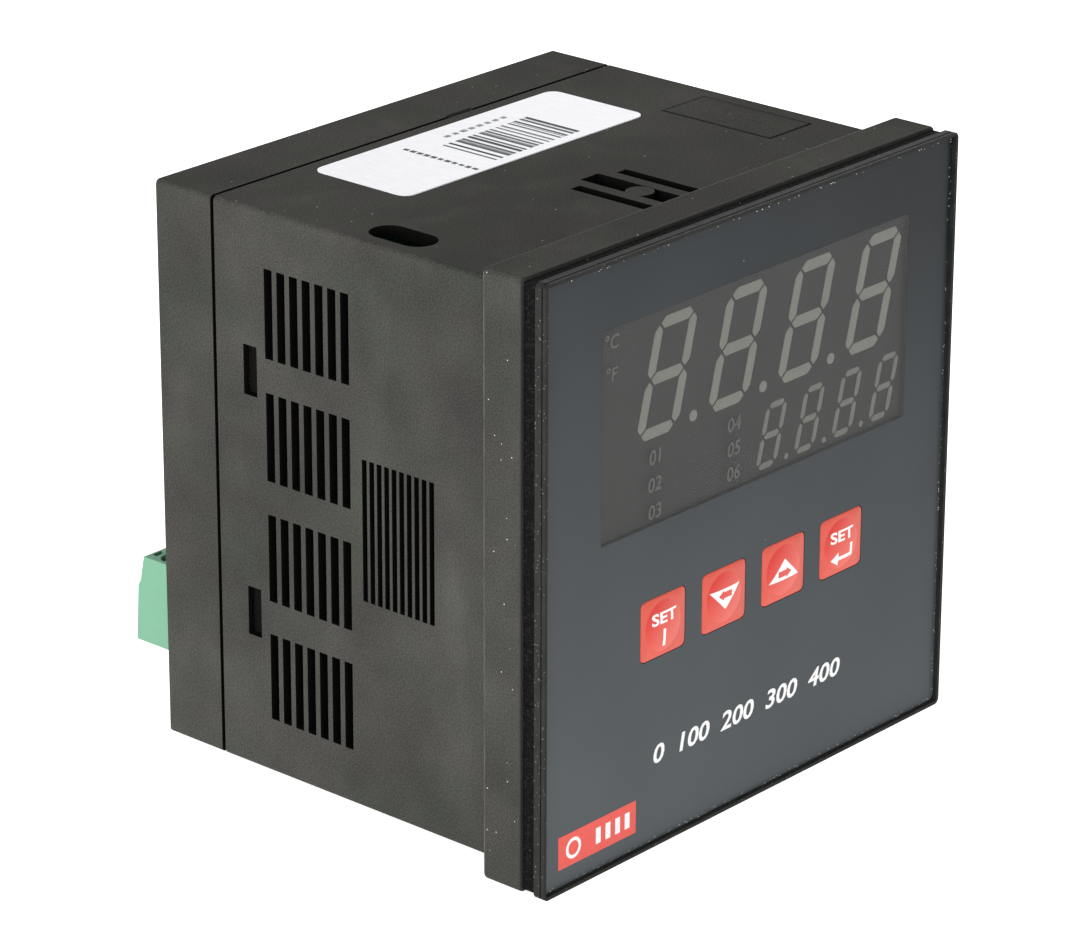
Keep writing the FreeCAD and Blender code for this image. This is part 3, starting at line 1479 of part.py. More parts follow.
def check_document():
    """Stop if any object failed or any sub-part has no valid shape."""
    failed = [item.Label for item in doc.Objects if {"Invalid", "Error"} & set(item.State)]
    if failed:
        raise RuntimeError(f"objects that failed to recompute: {failed}")
    poor = [part.Label for part in parts if part.Shape.isNull() or not part.Shape.isValid()]
    if poor:
        raise RuntimeError(f"sub-parts without a valid shape: {poor}")


build()
doc.recompute()
check_document()
os.makedirs("parts", exist_ok=True)
for part in parts:
    part.Shape.exportStep(f"parts/{part.Label}.step")
print(f"{len(parts)} sub-parts written")
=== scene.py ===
"""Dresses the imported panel-mount temperature controller and sets it on a pale studio floor."""

import logging
import math
from dataclasses import dataclass, field
from enum import Enum
from typing import Any, Iterable, Sequence

import bmesh
import bpy
from mathutils import Matrix, Vector

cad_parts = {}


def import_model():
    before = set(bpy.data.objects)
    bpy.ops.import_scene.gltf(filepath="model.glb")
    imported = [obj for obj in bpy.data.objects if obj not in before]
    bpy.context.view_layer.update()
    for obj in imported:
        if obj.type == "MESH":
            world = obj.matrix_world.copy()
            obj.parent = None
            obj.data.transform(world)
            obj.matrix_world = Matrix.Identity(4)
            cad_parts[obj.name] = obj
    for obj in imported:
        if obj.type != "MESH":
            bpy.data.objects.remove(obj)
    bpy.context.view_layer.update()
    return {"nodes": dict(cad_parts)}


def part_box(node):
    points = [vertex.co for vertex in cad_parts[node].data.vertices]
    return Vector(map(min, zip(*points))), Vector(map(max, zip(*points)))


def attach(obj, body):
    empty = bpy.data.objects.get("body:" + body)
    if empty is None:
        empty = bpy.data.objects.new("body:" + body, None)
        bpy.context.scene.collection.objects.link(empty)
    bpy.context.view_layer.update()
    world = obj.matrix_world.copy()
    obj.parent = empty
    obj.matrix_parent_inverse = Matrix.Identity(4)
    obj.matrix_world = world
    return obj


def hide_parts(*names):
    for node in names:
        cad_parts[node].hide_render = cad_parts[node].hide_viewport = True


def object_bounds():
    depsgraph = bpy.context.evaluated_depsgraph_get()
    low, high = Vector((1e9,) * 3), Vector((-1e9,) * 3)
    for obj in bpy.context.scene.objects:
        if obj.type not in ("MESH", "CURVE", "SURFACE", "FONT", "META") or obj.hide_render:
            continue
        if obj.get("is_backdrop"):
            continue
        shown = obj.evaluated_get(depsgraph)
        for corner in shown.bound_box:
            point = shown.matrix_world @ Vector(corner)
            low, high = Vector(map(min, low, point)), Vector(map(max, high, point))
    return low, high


log = logging.getLogger("controller")

MM = 0.001
PRINT = 0.02 * MM
COARSE_SEAM = 1e-6
FINE_SEAM = 1e-7
FINEST_SEAM = 1e-8
NO_SLOPE = 1e-9
WIDE_BAND = (0.3, 0.7)
TIGHT_BAND = (0.35, 0.65)
DRAWING_DEPTH = 0.1
TO_FRONT = Matrix(((1, 0, 0), (0, 0, -1), (0, 1, 0))).to_4x4()

Colour = tuple[float, float, float, float]
Point = tuple[float, float]
Place = tuple[float, float, float]
Socket = bpy.types.NodeSocket
Piece = bpy.types.Object


def srgb(red: float, green: float, blue: float) -> Colour:
    """Turn a display colour, each part from 0 to 255, into linear light.

    Args:
        red: The red part.
        green: The green part.
        blue: The blue part.

    Returns:
        The linear colour with full alpha.
    """
    parts = [part / 255 for part in (red, green, blue)]
    linear = [part / 12.92 if part <= 0.04045 else ((part + 0.055) / 1.055) ** 2.4 for part in parts]
    return linear[0], linear[1], linear[2], 1.0


def shade(colour: Colour, factor: float) -> Colour:
    """Return the colour made lighter or darker by a factor."""
    return colour[0] * factor, colour[1] * factor, colour[2] * factor, colour[3]


def tinted(colour: Colour, tint: Colour) -> Colour:
    """Return the colour with each part scaled by the tint's."""
    return colour[0] * tint[0], colour[1] * tint[1], colour[2] * tint[2], colour[3]


def grey(level: float) -> Colour:
    """Return a neutral colour of one linear level."""
    return level, level, level, 1.0


class NodeBuilder:
    """Adds nodes to a tree with short calls."""

    def __init__(self, tree: bpy.types.NodeTree) -> None:
        """Start on an emptied tree."""
        self.tree = tree
        tree.nodes.clear()

    def plug(self, node: bpy.types.Node, inputs: dict[Any, Any]) -> None:
        """Link a node's inputs to sockets or set their values, by input name or number."""
        for name, value in inputs.items():
            if isinstance(value, Socket):
                self.tree.links.new(value, node.inputs[name])
            else:
                node.inputs[name].default_value = value

    def add(self, kind: str, inputs: dict[Any, Any] | None = None, **settings: Any) -> bpy.types.Node:
        """Add one node.

        Args:
            kind: The node's type name.
            inputs: Sockets to link, or values to set, by input name or number.
            settings: The node's own properties.

        Returns:
            The new node.
        """
        node = self.tree.nodes.new(kind)
        for name, value in settings.items():
            setattr(node, name, value)
        self.plug(node, inputs or {})
        return node


class Graph(NodeBuilder):
    """Builds one material's nodes."""

    def __init__(self, name: str) -> None:
        """Start a material that holds a principled shader and its output."""
        self.material = bpy.data.materials.new(name)
        self.material.use_nodes = True
        super().__init__(self.material.node_tree)
        self.shader = self.add("ShaderNodeBsdfPrincipled")
        self.add("ShaderNodeOutputMaterial", {"Surface": self.shader.outputs["BSDF"]})
        self.place = self.add("ShaderNodeTexCoord").outputs["Object"]

    def set(self, **inputs: Any) -> None:
        """Set or link the shader's own sockets, named with underscores for spaces."""
        self.plug(self.shader, {name.replace("_", " "): value for name, value in inputs.items()})

    def noise(self, size: float, detail: float = 2.0, stretch: Sequence[float] = (1, 1, 1)) -> Socket:
        """Return a noise between 0 and 1 whose blotches are about size metres across."""
        vector = self.add("ShaderNodeMapping", {"Vector": self.place, "Scale": tuple(stretch)}).outputs[0]
        inputs = {"Vector": vector, "Scale": 1 / size, "Detail": detail}
        return self.add("ShaderNodeTexNoise", inputs).outputs[0]

    def math(self, operation: str, first: Any, second: Any = 0.0) -> Socket:
        """Return one arithmetic step on two values or sockets."""
        return self.add("ShaderNodeMath", {0: first, 1: second}, operation=operation).outputs[0]

    def times(self, first: Any, second: Any) -> Socket:
        """Return the product of two values or sockets, which is also where two masks meet."""
        return self.math("MULTIPLY", first, second)

    def plus(self, first: Any, second: Any) -> Socket:
        """Return the sum of two values or sockets."""
        return self.math("ADD", first, second)

    def minus(self, first: Any, second: Any) -> Socket:
        """Return the difference of two values or sockets."""
        return self.math("SUBTRACT", first, second)

    def larger(self, first: Any, second: Any) -> Socket:
        """Return the larger of two values or sockets."""
        return self.math("MAXIMUM", first, second)

    def above(self, value: Any, limit: Any) -> Socket:
        """Return 1 where a value is over a limit, and 0 elsewhere."""
        return self.math("GREATER_THAN", value, limit)

    def below(self, value: Any, limit: Any) -> Socket:
        """Return 1 where a value is under a limit, and 0 elsewhere."""
        return self.math("LESS_THAN", value, limit)

    def span(self, value: Any, low: float, high: float, start: float = 0.0, end: float = 1.0) -> Socket:
        """Return value carried from the range low to high over to start to end, kept inside it."""
        inputs = {"Value": value, "From Min": low, "From Max": high, "To Min": start, "To Max": end}
        return self.add("ShaderNodeMapRange", inputs).outputs[0]

    def mix(self, factor: Any, first: Any, second: Any, blend: str = "MIX") -> Socket:
        """Return a blend of two colours."""
        inputs = {0: factor, 6: first, 7: second}
        return self.add("ShaderNodeMix", inputs, data_type="RGBA", blend_type=blend).outputs[2]

    def shades(self, factor: Any, colour: Colour, low: float, high: float = 1.0) -> Socket:
        """Return a blend of two shades of one colour."""
        return self.mix(factor, shade(colour, low), shade(colour, high))

    def axis(self, number: int) -> Socket:
        """Return the object coordinate along one axis, in metres."""
        return self.add("ShaderNodeSeparateXYZ", {0: self.place}).outputs[number]

    def lie(self, number: int) -> Socket:
        """Return how far the surface faces along one axis, from -1 to 1."""
        normal = self.add("ShaderNodeNewGeometry").outputs["True Normal"]
        return self.add("ShaderNodeSeparateXYZ", {0: normal}).outputs[number]

    def band(self, value: Socket, low: float, high: float) -> Socket:
        """Return 1 where a value lies between two limits, and 0 elsewhere."""
        return self.times(self.above(value, low), self.below(value, high))

    def size(self, value: Socket) -> Socket:
        """Return a value without its sign."""
        return self.math("ABSOLUTE", value)

    def cells(self, spacing: float) -> tuple[Socket, Socket]:
        """Return the distance from the nearest cell's point, in cells, and that cell's random value."""
        node = self.add("ShaderNodeTexVoronoi", {"Vector": self.place, "Scale": 1 / spacing})
        chance = self.add("ShaderNodeSeparateColor", {0: node.outputs["Color"]}).outputs[0]
        return node.outputs["Distance"], chance

    def specks(self, spacing: float, size: float, share: float) -> Socket:
        """Return 1 on small scattered specks and 0 elsewhere.

        Args:
            spacing: The size of the cells that may hold a speck, in metres.
            size: A speck's radius, in metres.
            share: The share of cells that hold one.

        Returns:
            The mask.
        """
        distance, chance = self.cells(spacing)
        return self.times(self.below(distance, size / spacing), self.below(chance, share))

    def wave(self, scale: float, distortion: float, **settings: Any) -> Socket:
        """Return regular bands between 0 and 1."""
        inputs = {"Vector": self.place, "Scale": scale, "Distortion": distortion}
        return self.add("ShaderNodeTexWave", inputs, **settings).outputs[1]

    def bump(self, height: Socket, depth: float, strength: float = 1.0) -> None:
        """Raise the surface by a height between 0 and 1 times depth metres."""
        node = self.add("ShaderNodeBump", {"Height": height, "Distance": depth, "Strength": strength})
        self.set(Normal=node.outputs[0])


@dataclass(frozen=True)
class Finish:
    """A surface finish, which makes its material once."""

    name: str
    colour: Colour
    roughness: float = 0.5

    def material(self) -> bpy.types.Material:
        """Return the finish's material, made on first use."""
        known = bpy.data.materials.get(self.name)
        if known:
            return known
        graph = Graph(self.name)
        graph.set(Base_Color=self.colour, Roughness=self.roughness)
        self.dress(graph)
        return graph.material

    def dress(self, graph: Graph) -> None:
        """Add the finish's own nodes to a new material."""
        raise NotImplementedError


@dataclass(frozen=True)
class MouldedPlastic(Finish):
    """Injection-moulded plastic with spark-eroded grain, cloudy handling marks and fine dust.

    With a shade factor below 1, painted shade darkens the insides and the walls of openings. What lies within
    core_half of the axis is inside. The walls of an opening lie within skin_half of it and face along the
    skin.
    A painted shade line also runs along the slits of the two flaps.
    """

    specular: float = 0.3
    mottle: float = 0.12
    mottle_size: float = 14 * MM
    tint: Colour = (1.0, 1.0, 1.0, 1.0)
    grain_size: float = 0.22 * MM
    grain_depth: float = 0.03 * MM
    grain_tone: float = 0.3
    polish_range: float = 0.06
    smudge: float = 0.0
    smudge_size: float = 9 * MM
    haze: float = 0.0
    haze_size: float = 38 * MM
    dust: float = 0.05
    dust_size: float = 0.1 * MM
    dust_spacing: float = 1.7 * MM
    dust_colour: Colour = srgb(176, 174, 168)
    core: float = 1.0
    core_half: float = 44.6 * MM
    skin_half: float = 45.55 * MM
    core_rear: float = 64.15 * MM
    flap_across: Point = (31.5 * MM, 42.1 * MM)
    flap_along: Point = (19.15 * MM, 41.2 * MM)
    slit_shade_width: float = 0.85 * MM

    def dress(self, graph: Graph) -> None:
        """Blend mottled colour with dust and emboss the grain."""
        cloud = graph.noise(self.mottle_size, 5.0)
        grain = graph.noise(self.grain_size, 2.0)
        warm = graph.span(graph.noise(self.mottle_size * 1.7, 3.0, (1.0, 0.7, 1.3)), *TIGHT_BAND)
        mixed = graph.plus(graph.times(cloud, 1 - self.grain_tone), graph.times(grain, self.grain_tone))
        base = graph.mix(warm, self.colour, tinted(self.colour, self.tint))
        dark = graph.mix(1.0, base, grey(1 - self.mottle), "MULTIPLY")
        light = graph.mix(1.0, base, grey(1 + self.mottle), "MULTIPLY")
        tone = graph.mix(graph.span(mixed, *TIGHT_BAND), dark, light)
        if self.smudge:
            marks = graph.span(graph.noise(self.smudge_size, 4.0, (1.0, 1.0, 0.45)), 0.56, 0.72)
            tone = graph.mix(graph.times(marks, self.smudge), tone, self.dust_colour)
        if self.haze:
            drift = graph.span(graph.noise(self.haze_size, 2.0), 0.38, 0.62, 1 - self.haze, 1 + self.haze)
            veil = graph.add("ShaderNodeCombineColor", {0: drift, 1: drift, 2: drift}).outputs[0]
            tone = graph.mix(1.0, tone, veil, "MULTIPLY")
        dusty = graph.mix(graph.specks(self.dust_spacing, self.dust_size, self.dust), tone, self.dust_colour)
        # Paint shade inside the case, on the walls of its openings and along the flap slits.
        if self.core < 1:
            for mask in (self.slit_shade_mask(graph), self.inside_shade_mask(graph)):
                dusty = graph.mix(mask, dusty, shade(self.colour, self.core))
        graph.set(Base_Color=dusty, Specular_IOR_Level=self.specular)
        low, high = self.roughness - self.polish_range, self.roughness + self.polish_range
        graph.set(Roughness=graph.span(cloud, *WIDE_BAND, low, high))
        graph.bump(grain, self.grain_depth, 0.6)

    def slit_shade_mask(self, graph: Graph) -> Socket:
        """Return 1 on the painted shade along the slits of the two flaps, and 0 elsewhere."""
        upright = graph.axis(2)
        across = graph.times(graph.axis(0), graph.math("SIGN", upright))
        inner, outer = self.flap_across
        front, rear = self.flap_along
        # The band of painted shade reaches this far in from the slit.
        along, width = graph.axis(1), self.slit_shade_width
        side = graph.times(graph.band(across, inner, inner + width), graph.band(along, front, rear))
        end = graph.times(graph.band(across, inner, outer), graph.band(along, front, front + width))
        return graph.times(graph.larger(side, end), graph.above(graph.size(upright), self.core_half))

    def inside_shade_mask(self, graph: Graph) -> Socket:
        """Return 1 on the painted shade inside the case and on the walls of its openings, and 0 outside."""
        across, up = graph.size(graph.axis(0)), graph.size(graph.axis(2))
        reach = graph.larger(across, up)
        on_side = graph.above(across, up)
        on_top = graph.minus(1.0, on_side)
        outward = graph.plus(graph.times(on_side, graph.size(graph.lie(0))),
                             graph.times(on_top, graph.size(graph.lie(2))))
        wall = graph.times(graph.below(outward, 0.5), graph.below(reach, self.skin_half))
        inner = graph.larger(wall, graph.below(reach, self.core_half))
        return graph.times(inner, graph.below(graph.axis(1), self.core_rear))


@dataclass(frozen=True)
class EdgeHighlight(Finish):
    """The rounded edges of a moulding, with a painted highlight where they are upright and face the rear, and
    fine dust.
    """

    highlight_colour: Colour = srgb(96, 94, 90)
    dust_colour: Colour = srgb(170, 168, 162)

    def dress(self, graph: Graph) -> None:
        """Paint an uneven highlight on the upright rear edges and leave the others as moulded."""
        upright = graph.span(graph.size(graph.lie(2)), 0.5, 0.2)
        rear = graph.times(graph.span(graph.lie(1), 0.15, 0.5), upright)
        edge_highlight = graph.times(rear, graph.span(graph.noise(3 * MM, 3.0), 0.3, 0.6, 0.4, 1.0))
        tone = graph.mix(edge_highlight, self.colour, self.highlight_colour)
        dust = graph.specks(0.9 * MM, 0.12 * MM, 0.1)
        graph.set(Base_Color=graph.mix(dust, tone, self.dust_colour), Specular_IOR_Level=0.1)


@dataclass(frozen=True)
class CellularFoam(Finish):
    """Closed-cell sealing foam: open pores with painted shade, painted glints and caught dust."""

    cell: float = 0.3 * MM
    glint: Colour = srgb(54, 49, 46)
    glint_share: float = 0.12
    glint_cover: float = 0.3
    dust_colour: Colour = srgb(130, 126, 120)

    def dress(self, graph: Graph) -> None:
        """Pit the surface with cells, paint shade in the pores, and speckle it with painted glints and dust.
        """
        distance, chance = graph.cells(self.cell)
        depth = graph.span(distance, 0.1, 0.6)
        # Painted shade: each pore is darker in its middle and lighter towards the cell walls.
        tone = graph.shades(depth, self.colour, 0.3, 1.9)
        # Painted glints on a share of the cells.
        glints = graph.times(graph.above(chance, 1 - self.glint_share), self.glint_cover)
        speckled = graph.mix(glints, tone, self.glint)
        dusty = graph.mix(graph.specks(1.1 * MM, 0.12 * MM, 0.06), speckled, self.dust_colour)
        graph.set(Base_Color=dusty, Specular_IOR_Level=0.1)
        graph.bump(depth, 0.12 * MM)


@dataclass(frozen=True)
class PrintedFilm(Finish):
    """A printed polyester front film with a painted reflection that lightens it towards its foot and its
    left, with lint caught along its rim.
    """

    reflection_colour: Colour = srgb(76, 81, 84)
    pit_colour: Colour = srgb(28, 30, 32)
    polish_range: float = 0.04
    half_size: float = 47.3 * MM
    rim: float = 0.5 * MM
    lint: Colour = srgb(205, 207, 205)

    def dress(self, graph: Graph) -> None:
        """Paint a reflection that lightens the print towards its foot and its left, and scatter lint."""
        # Painted reflection: lighter towards the foot and the left, a little uneven.
        drop = graph.span(graph.axis(2), self.half_size, -self.half_size)
        lean = graph.span(graph.axis(0), self.half_size, -self.half_size, 0.0, 0.3)
        cloud = graph.noise(24 * MM, 3.0)
        ripple = graph.span(cloud, *WIDE_BAND, -0.06, 0.06)
        painted_light = graph.plus(graph.plus(graph.times(drop, 0.8), lean), ripple)
        tone = graph.mix(painted_light, self.colour, self.reflection_colour)
        stray = graph.mix(graph.specks(3.4 * MM, 0.11 * MM, 0.1), tone, shade(self.lint, 0.6))
        pitted = graph.mix(graph.specks(5.2 * MM, 0.16 * MM, 0.05), stray, self.pit_colour)
        reach = graph.larger(graph.size(graph.axis(0)), graph.size(graph.axis(2)))
        near_rim = graph.above(reach, self.half_size - self.rim)
        caught = graph.times(near_rim, graph.specks(0.45 * MM, 0.1 * MM, 0.6))
        graph.set(Base_Color=graph.mix(caught, pitted, self.lint), Specular_IOR_Level=0.1)
        low, high = self.roughness - self.polish_range, self.roughness + self.polish_range
        graph.set(Roughness=graph.span(cloud, *WIDE_BAND, low, high))
        graph.bump(graph.noise(0.5 * MM, 1.0), 0.004 * MM, 0.5)


@dataclass(frozen=True)
class SmokedWindow(Finish):
    """A smoked clear window that shows what lies close behind it."""

    opacity: float = 0.35
    speck_opacity: float = 0.8
    fleck: Colour = srgb(140, 140, 138)
    pit_colour: Colour = srgb(34, 33, 33)

    def dress(self, graph: Graph) -> None:
        """Tint the window evenly with faint clouding and dust."""
        cloud = graph.noise(18 * MM, 3.0)
        tone = graph.shades(graph.span(cloud, *WIDE_BAND), self.colour, 0.95, 1.05)
        pits = graph.specks(5 * MM, 0.16 * MM, 0.06)
        flecks = graph.specks(2.6 * MM, 0.1 * MM, 0.06)
        pitted = graph.mix(pits, tone, self.pit_colour)
        graph.set(Base_Color=graph.mix(flecks, pitted, self.fleck), Specular_IOR_Level=0.15)
        graph.set(Alpha=graph.span(graph.larger(pits, flecks), 0.0, 1.0, self.opacity, self.speck_opacity))


@dataclass(frozen=True)
class KeyMembrane(Finish):
    """A red membrane key whose round dome has painted shade at its upper left and a painted highlight at its
    lower right.
    """

    # The first colour is the dome's painted highlight, the second its painted shade.
    pale: Colour = srgb(216, 94, 80)
    shaded_red: Colour = srgb(202, 44, 34)
    centre: Point = (0.0, 0.0)
    radius: float = 4.2 * MM
    edge: float = 0.25 * MM

    def dress(self, graph: Graph) -> None:
        """Paint shade and highlight across the disc's diagonal and leave the field round it plain."""
        across = graph.minus(graph.axis(0), self.centre[0])
        up = graph.minus(graph.axis(2), self.centre[1])
        reach = graph.math("SQRT", graph.plus(graph.times(across, across), graph.times(up, up)))
        inside = graph.span(reach, self.radius, self.radius - self.edge)
        slope = graph.minus(across, up)
        # Painted light across the dome: shade at the upper left, highlight at the lower right.
        painted_light = graph.span(slope, -self.radius * 1.25, self.radius * 0.9)
        disc = graph.mix(painted_light, self.shaded_red, self.pale)
        cloud = graph.span(graph.noise(2 * MM, 2.0), *WIDE_BAND, 0.0, 0.15)
        field_tone = graph.mix(cloud, self.colour, self.pale)
        graph.set(Base_Color=graph.mix(inside, field_tone, disc), Specular_IOR_Level=0.35)
        graph.bump(graph.noise(0.4 * MM, 1.0), 0.004 * MM, 0.4)


@dataclass(frozen=True)
class Ink(Finish):
    """Screen-printed ink with slightly uneven cover."""

    cover: float = 0.08

    def dress(self, graph: Graph) -> None:
        """Vary the tone a little over each stroke."""
        cloud = graph.span(graph.noise(0.6 * MM, 2.0), *WIDE_BAND)
        tone = graph.shades(cloud, self.colour, 1 - self.cover)
        graph.set(Base_Color=tone, Specular_IOR_Level=0.25)


@dataclass(frozen=True)
class LabelPaper(Finish):
    """Coated label stock with faint fibres."""

    def dress(self, graph: Graph) -> None:
        """Add fibres and a slight tooth."""
        fibre = graph.noise(0.6 * MM, 4.0, (1, 0.25, 1))
        tone = graph.shades(graph.span(fibre, *TIGHT_BAND), self.colour, 0.95)
        graph.set(Base_Color=tone, Specular_IOR_Level=0.3)
        graph.bump(fibre, 0.01 * MM, 0.4)


@dataclass(frozen=True)
class Metal(Finish):
    """Plated or brushed metal with stains and fine scratches."""

    streak: Sequence[float] = (1, 1, 12)
    tarnish: float = 0.25

    def dress(self, graph: Graph) -> None:
        """Streak the tone and the polish."""
        streaks = graph.noise(0.8 * MM, 3.0, self.streak)
        cloud = graph.noise(3 * MM, 3.0)
        tone = graph.shades(graph.span(cloud, *TIGHT_BAND), self.colour, 1 - self.tarnish)
        graph.set(Base_Color=tone, Metallic=1.0)
        graph.set(Roughness=graph.span(streaks, *WIDE_BAND, self.roughness - 0.08, self.roughness + 0.1))
        graph.bump(streaks, 0.006 * MM, 0.5)


@dataclass(frozen=True)
class BoardLacquer(Finish):
    """Circuit-board lacquer over faint tracks."""

    track: Colour = srgb(46, 110, 62)
    track_pitch: float = 2.4 * MM

    def dress(self, graph: Graph) -> None:
        """Lay faint rectangular tracks under the lacquer."""
        inputs = {"Vector": graph.place, "Scale": 1 / self.track_pitch, "Randomness": 0.7}
        cells = graph.add("ShaderNodeTexVoronoi", inputs, distance="CHEBYCHEV")
        lines = graph.span(cells.outputs["Distance"], 0.36, 0.4)
        cloud = graph.span(graph.noise(5 * MM, 2.0), 0.4, 0.6)
        lacquer = graph.shades(cloud, self.colour, 0.85)
        graph.set(Base_Color=graph.mix(lines, lacquer, self.track), Specular_IOR_Level=0.5)
        graph.bump(lines, 0.03 * MM, 0.5)


@dataclass(frozen=True)
class LaminatedSteel(Finish):
    """A transformer's stacked sheets, seen as close dark lines, with a varnish sheen."""

    sheet: float = 0.5 * MM

    def dress(self, graph: Graph) -> None:
        """Stripe the stack along its depth."""
        stripes = graph.span(graph.wave(0.5 / self.sheet, 0.4, bands_direction="Y"), 0.2, 0.8)
        graph.set(Base_Color=graph.shades(stripes, self.colour, 0.5), Metallic=0.7)
        graph.bump(stripes, 0.05 * MM)


@dataclass(frozen=True)
class WoundTape(Finish):
    """Overlapping turns of insulating tape."""

    turn: float = 5 * MM

    def dress(self, graph: Graph) -> None:
        """Lap the turns and wrinkle them."""
        laps = graph.wave(0.3 / self.turn, 1.5, bands_direction="DIAGONAL", wave_profile="SAW")
        graph.set(Base_Color=graph.shades(laps, self.colour, 0.8))
        graph.bump(laps, 0.08 * MM)


@dataclass(frozen=True)
class CastResin(Finish):
    """Cast, dipped or sleeved component bodies with a soft gloss."""

    depth: float = 0.02 * MM

    def dress(self, graph: Graph) -> None:
        """Cloud the tone and ripple the skin."""
        cloud = graph.noise(1.6 * MM, 3.0)
        tone = graph.shades(graph.span(cloud, *TIGHT_BAND), self.colour, 0.88, 1.06)
        graph.set(Base_Color=tone, Specular_IOR_Level=0.5)
        graph.bump(cloud, self.depth, 0.6)


@dataclass(frozen=True)
class ClearTube(Finish):
    """The glass tube of a cartridge fuse."""

    def dress(self, graph: Graph) -> None:
        """Make thin clear glass with a faint haze."""
        haze = graph.span(graph.noise(1.2 * MM, 2.0), 0.4, 0.7, self.roughness, self.roughness + 0.15)
        graph.set(Alpha=0.35, Roughness=haze, Specular_IOR_Level=0.7)


@dataclass(frozen=True)
class StudioSurface(Finish):
    """The pale seamless floor."""

    glow: float = 0.85

    def dress(self, graph: Graph) -> None:
        """Keep the floor near white with the faintest tooth."""
        tooth = graph.noise(6 * MM, 2.0)
        graph.set(Base_Color=graph.shades(tooth, self.colour, 0.985), Specular_IOR_Level=0.1)
        graph.set(Emission_Color=self.colour, Emission_Strength=self.glow)


def green_plastic(name: str, colour: Colour) -> MouldedPlastic:
    """Return the finish of a smooth, nearly clean connector moulding."""
    return MouldedPlastic(name, colour, 0.5, dust=0.01, mottle=0.06, grain_depth=0.008 * MM, specular=0.12)


# The case paints shade inside itself, on the walls of its openings and along the flap slits.
CASE = MouldedPlastic("charcoal_case_plastic", srgb(62, 60, 58), 0.75, specular=0.03, mottle=0.32,
                      mottle_size=9 * MM, tint=(0.91, 1.02, 0.94, 1.0), grain_size=0.3 * MM, grain_tone=0.72,
                      smudge=0.02, haze=0.12, dust=0.11, dust_size=0.11 * MM, dust_spacing=1.5 * MM, core=0.1)
# Edge finishes paint a highlight on the rounded edges that stand upright and face the rear.
CASE_EDGE = EdgeHighlight("case_edges", srgb(52, 52, 50), 0.55)
BEZEL = MouldedPlastic("near_black_bezel_plastic", srgb(40, 41, 39), 0.55, specular=0.06, mottle=0.25,
                       mottle_size=3 * MM, dust=0.2, dust_size=0.09 * MM, dust_spacing=0.5 * MM,
                       dust_colour=srgb(122, 119, 112))
BEZEL_EDGE = EdgeHighlight("bezel_edges", srgb(38, 38, 38), 0.5, highlight_colour=srgb(74, 74, 74))
FOAM = CellularFoam("black_sealing_foam", srgb(7, 7, 7), 0.9)
FILM = PrintedFilm("slate_front_film", srgb(25, 29, 32), 0.34)
WINDOW = SmokedWindow("smoked_window", srgb(84, 84, 83), 0.34)
MASK = Ink("black_display_mask", srgb(44, 44, 44), 0.6, cover=0.15)
PALE_INK = Ink("pale_ink", srgb(236, 236, 236), 0.4)
BLUSH_INK = Ink("blush_ink", srgb(255, 238, 236), 0.4)
FAINT_INK = Ink("faint_legend_ink", srgb(78, 79, 77), 0.4)
RED_INK = Ink("red_ink", srgb(222, 84, 74), 0.4)
DARK_INK = Ink("dark_thermal_ink", srgb(58, 66, 68), 0.5, cover=0.35)
GREY_INK = Ink("grey_thermal_ink", srgb(138, 146, 148), 0.5, cover=0.3)
PAPER = LabelPaper("label_paper", srgb(246, 246, 250), 0.45)
SEGMENT = Ink("pale_segments", srgb(214, 214, 201), 0.5)
SMALL_SEGMENT = Ink("dim_segments", srgb(190, 190, 178), 0.5)
DISPLAY = MouldedPlastic("display_face_plastic", srgb(44, 44, 44), 0.55, grain_depth=0.0, dust=0.0)

SLOTS: dict[str, Finish] = {
    "case_plastic": CASE,
    "bezel_plastic": BEZEL,
    "film_slate": FILM,
    "window_smoke": WINDOW,
    "gasket_foam": FOAM,
    "key_red": CastResin("key_red_rubber", srgb(236, 84, 74), 0.45),
    "switch_black": MouldedPlastic("switch_housing_plastic", srgb(34, 34, 36), 0.5, dust=0.0),
    "switch_plunger": CastResin("switch_plunger_plastic", srgb(70, 50, 44), 0.5),
    "display_face": DISPLAY,
    "segment_pale": SEGMENT,
    "lamp_red": CastResin("lamp_red_epoxy", srgb(120, 40, 36), 0.25),
    "board_green": BoardLacquer("board_green_lacquer", srgb(28, 84, 46), 0.35),
    "screw_steel": Metal("zinc_plated_steel", srgb(196, 196, 190), 0.32),
    "connector_white": MouldedPlastic("connector_nylon", srgb(222, 220, 208), 0.5, dust=0.0, mottle=0.04),
    "core_steel": LaminatedSteel("laminated_core_steel", srgb(150, 148, 144), 0.4),
    "winding_tape": WoundTape("yellow_winding_tape", srgb(214, 182, 66), 0.4),
    "can_sleeve": CastResin("black_capacitor_sleeve", srgb(30, 34, 52), 0.3),
    "relay_blue": CastResin("blue_relay_case", srgb(40, 84, 160), 0.4),
    "fuse_glass": ClearTube("fuse_glass", srgb(226, 232, 230), 0.06),
    "contact_tin": Metal("tinned_brass", srgb(206, 204, 196), 0.28, tarnish=0.15),
    "varistor_coat": CastResin("blue_varistor_coat", srgb(44, 84, 150), 0.45, depth=0.05 * MM),
    "chip_black": MouldedPlastic("chip_moulding", srgb(30, 30, 30), 0.6, dust=0.0),
    "crystal_can": Metal("crystal_can_nickel", srgb(200, 200, 198), 0.22),
    "terminal_green": green_plastic("mint_terminal_plastic", srgb(109, 155, 129)),
    "header_green": green_plastic("green_header_plastic", srgb(92, 148, 116)),
    "label_white": PAPER,
}
OWN_FINISH = {"small_digits": SMALL_SEGMENT}


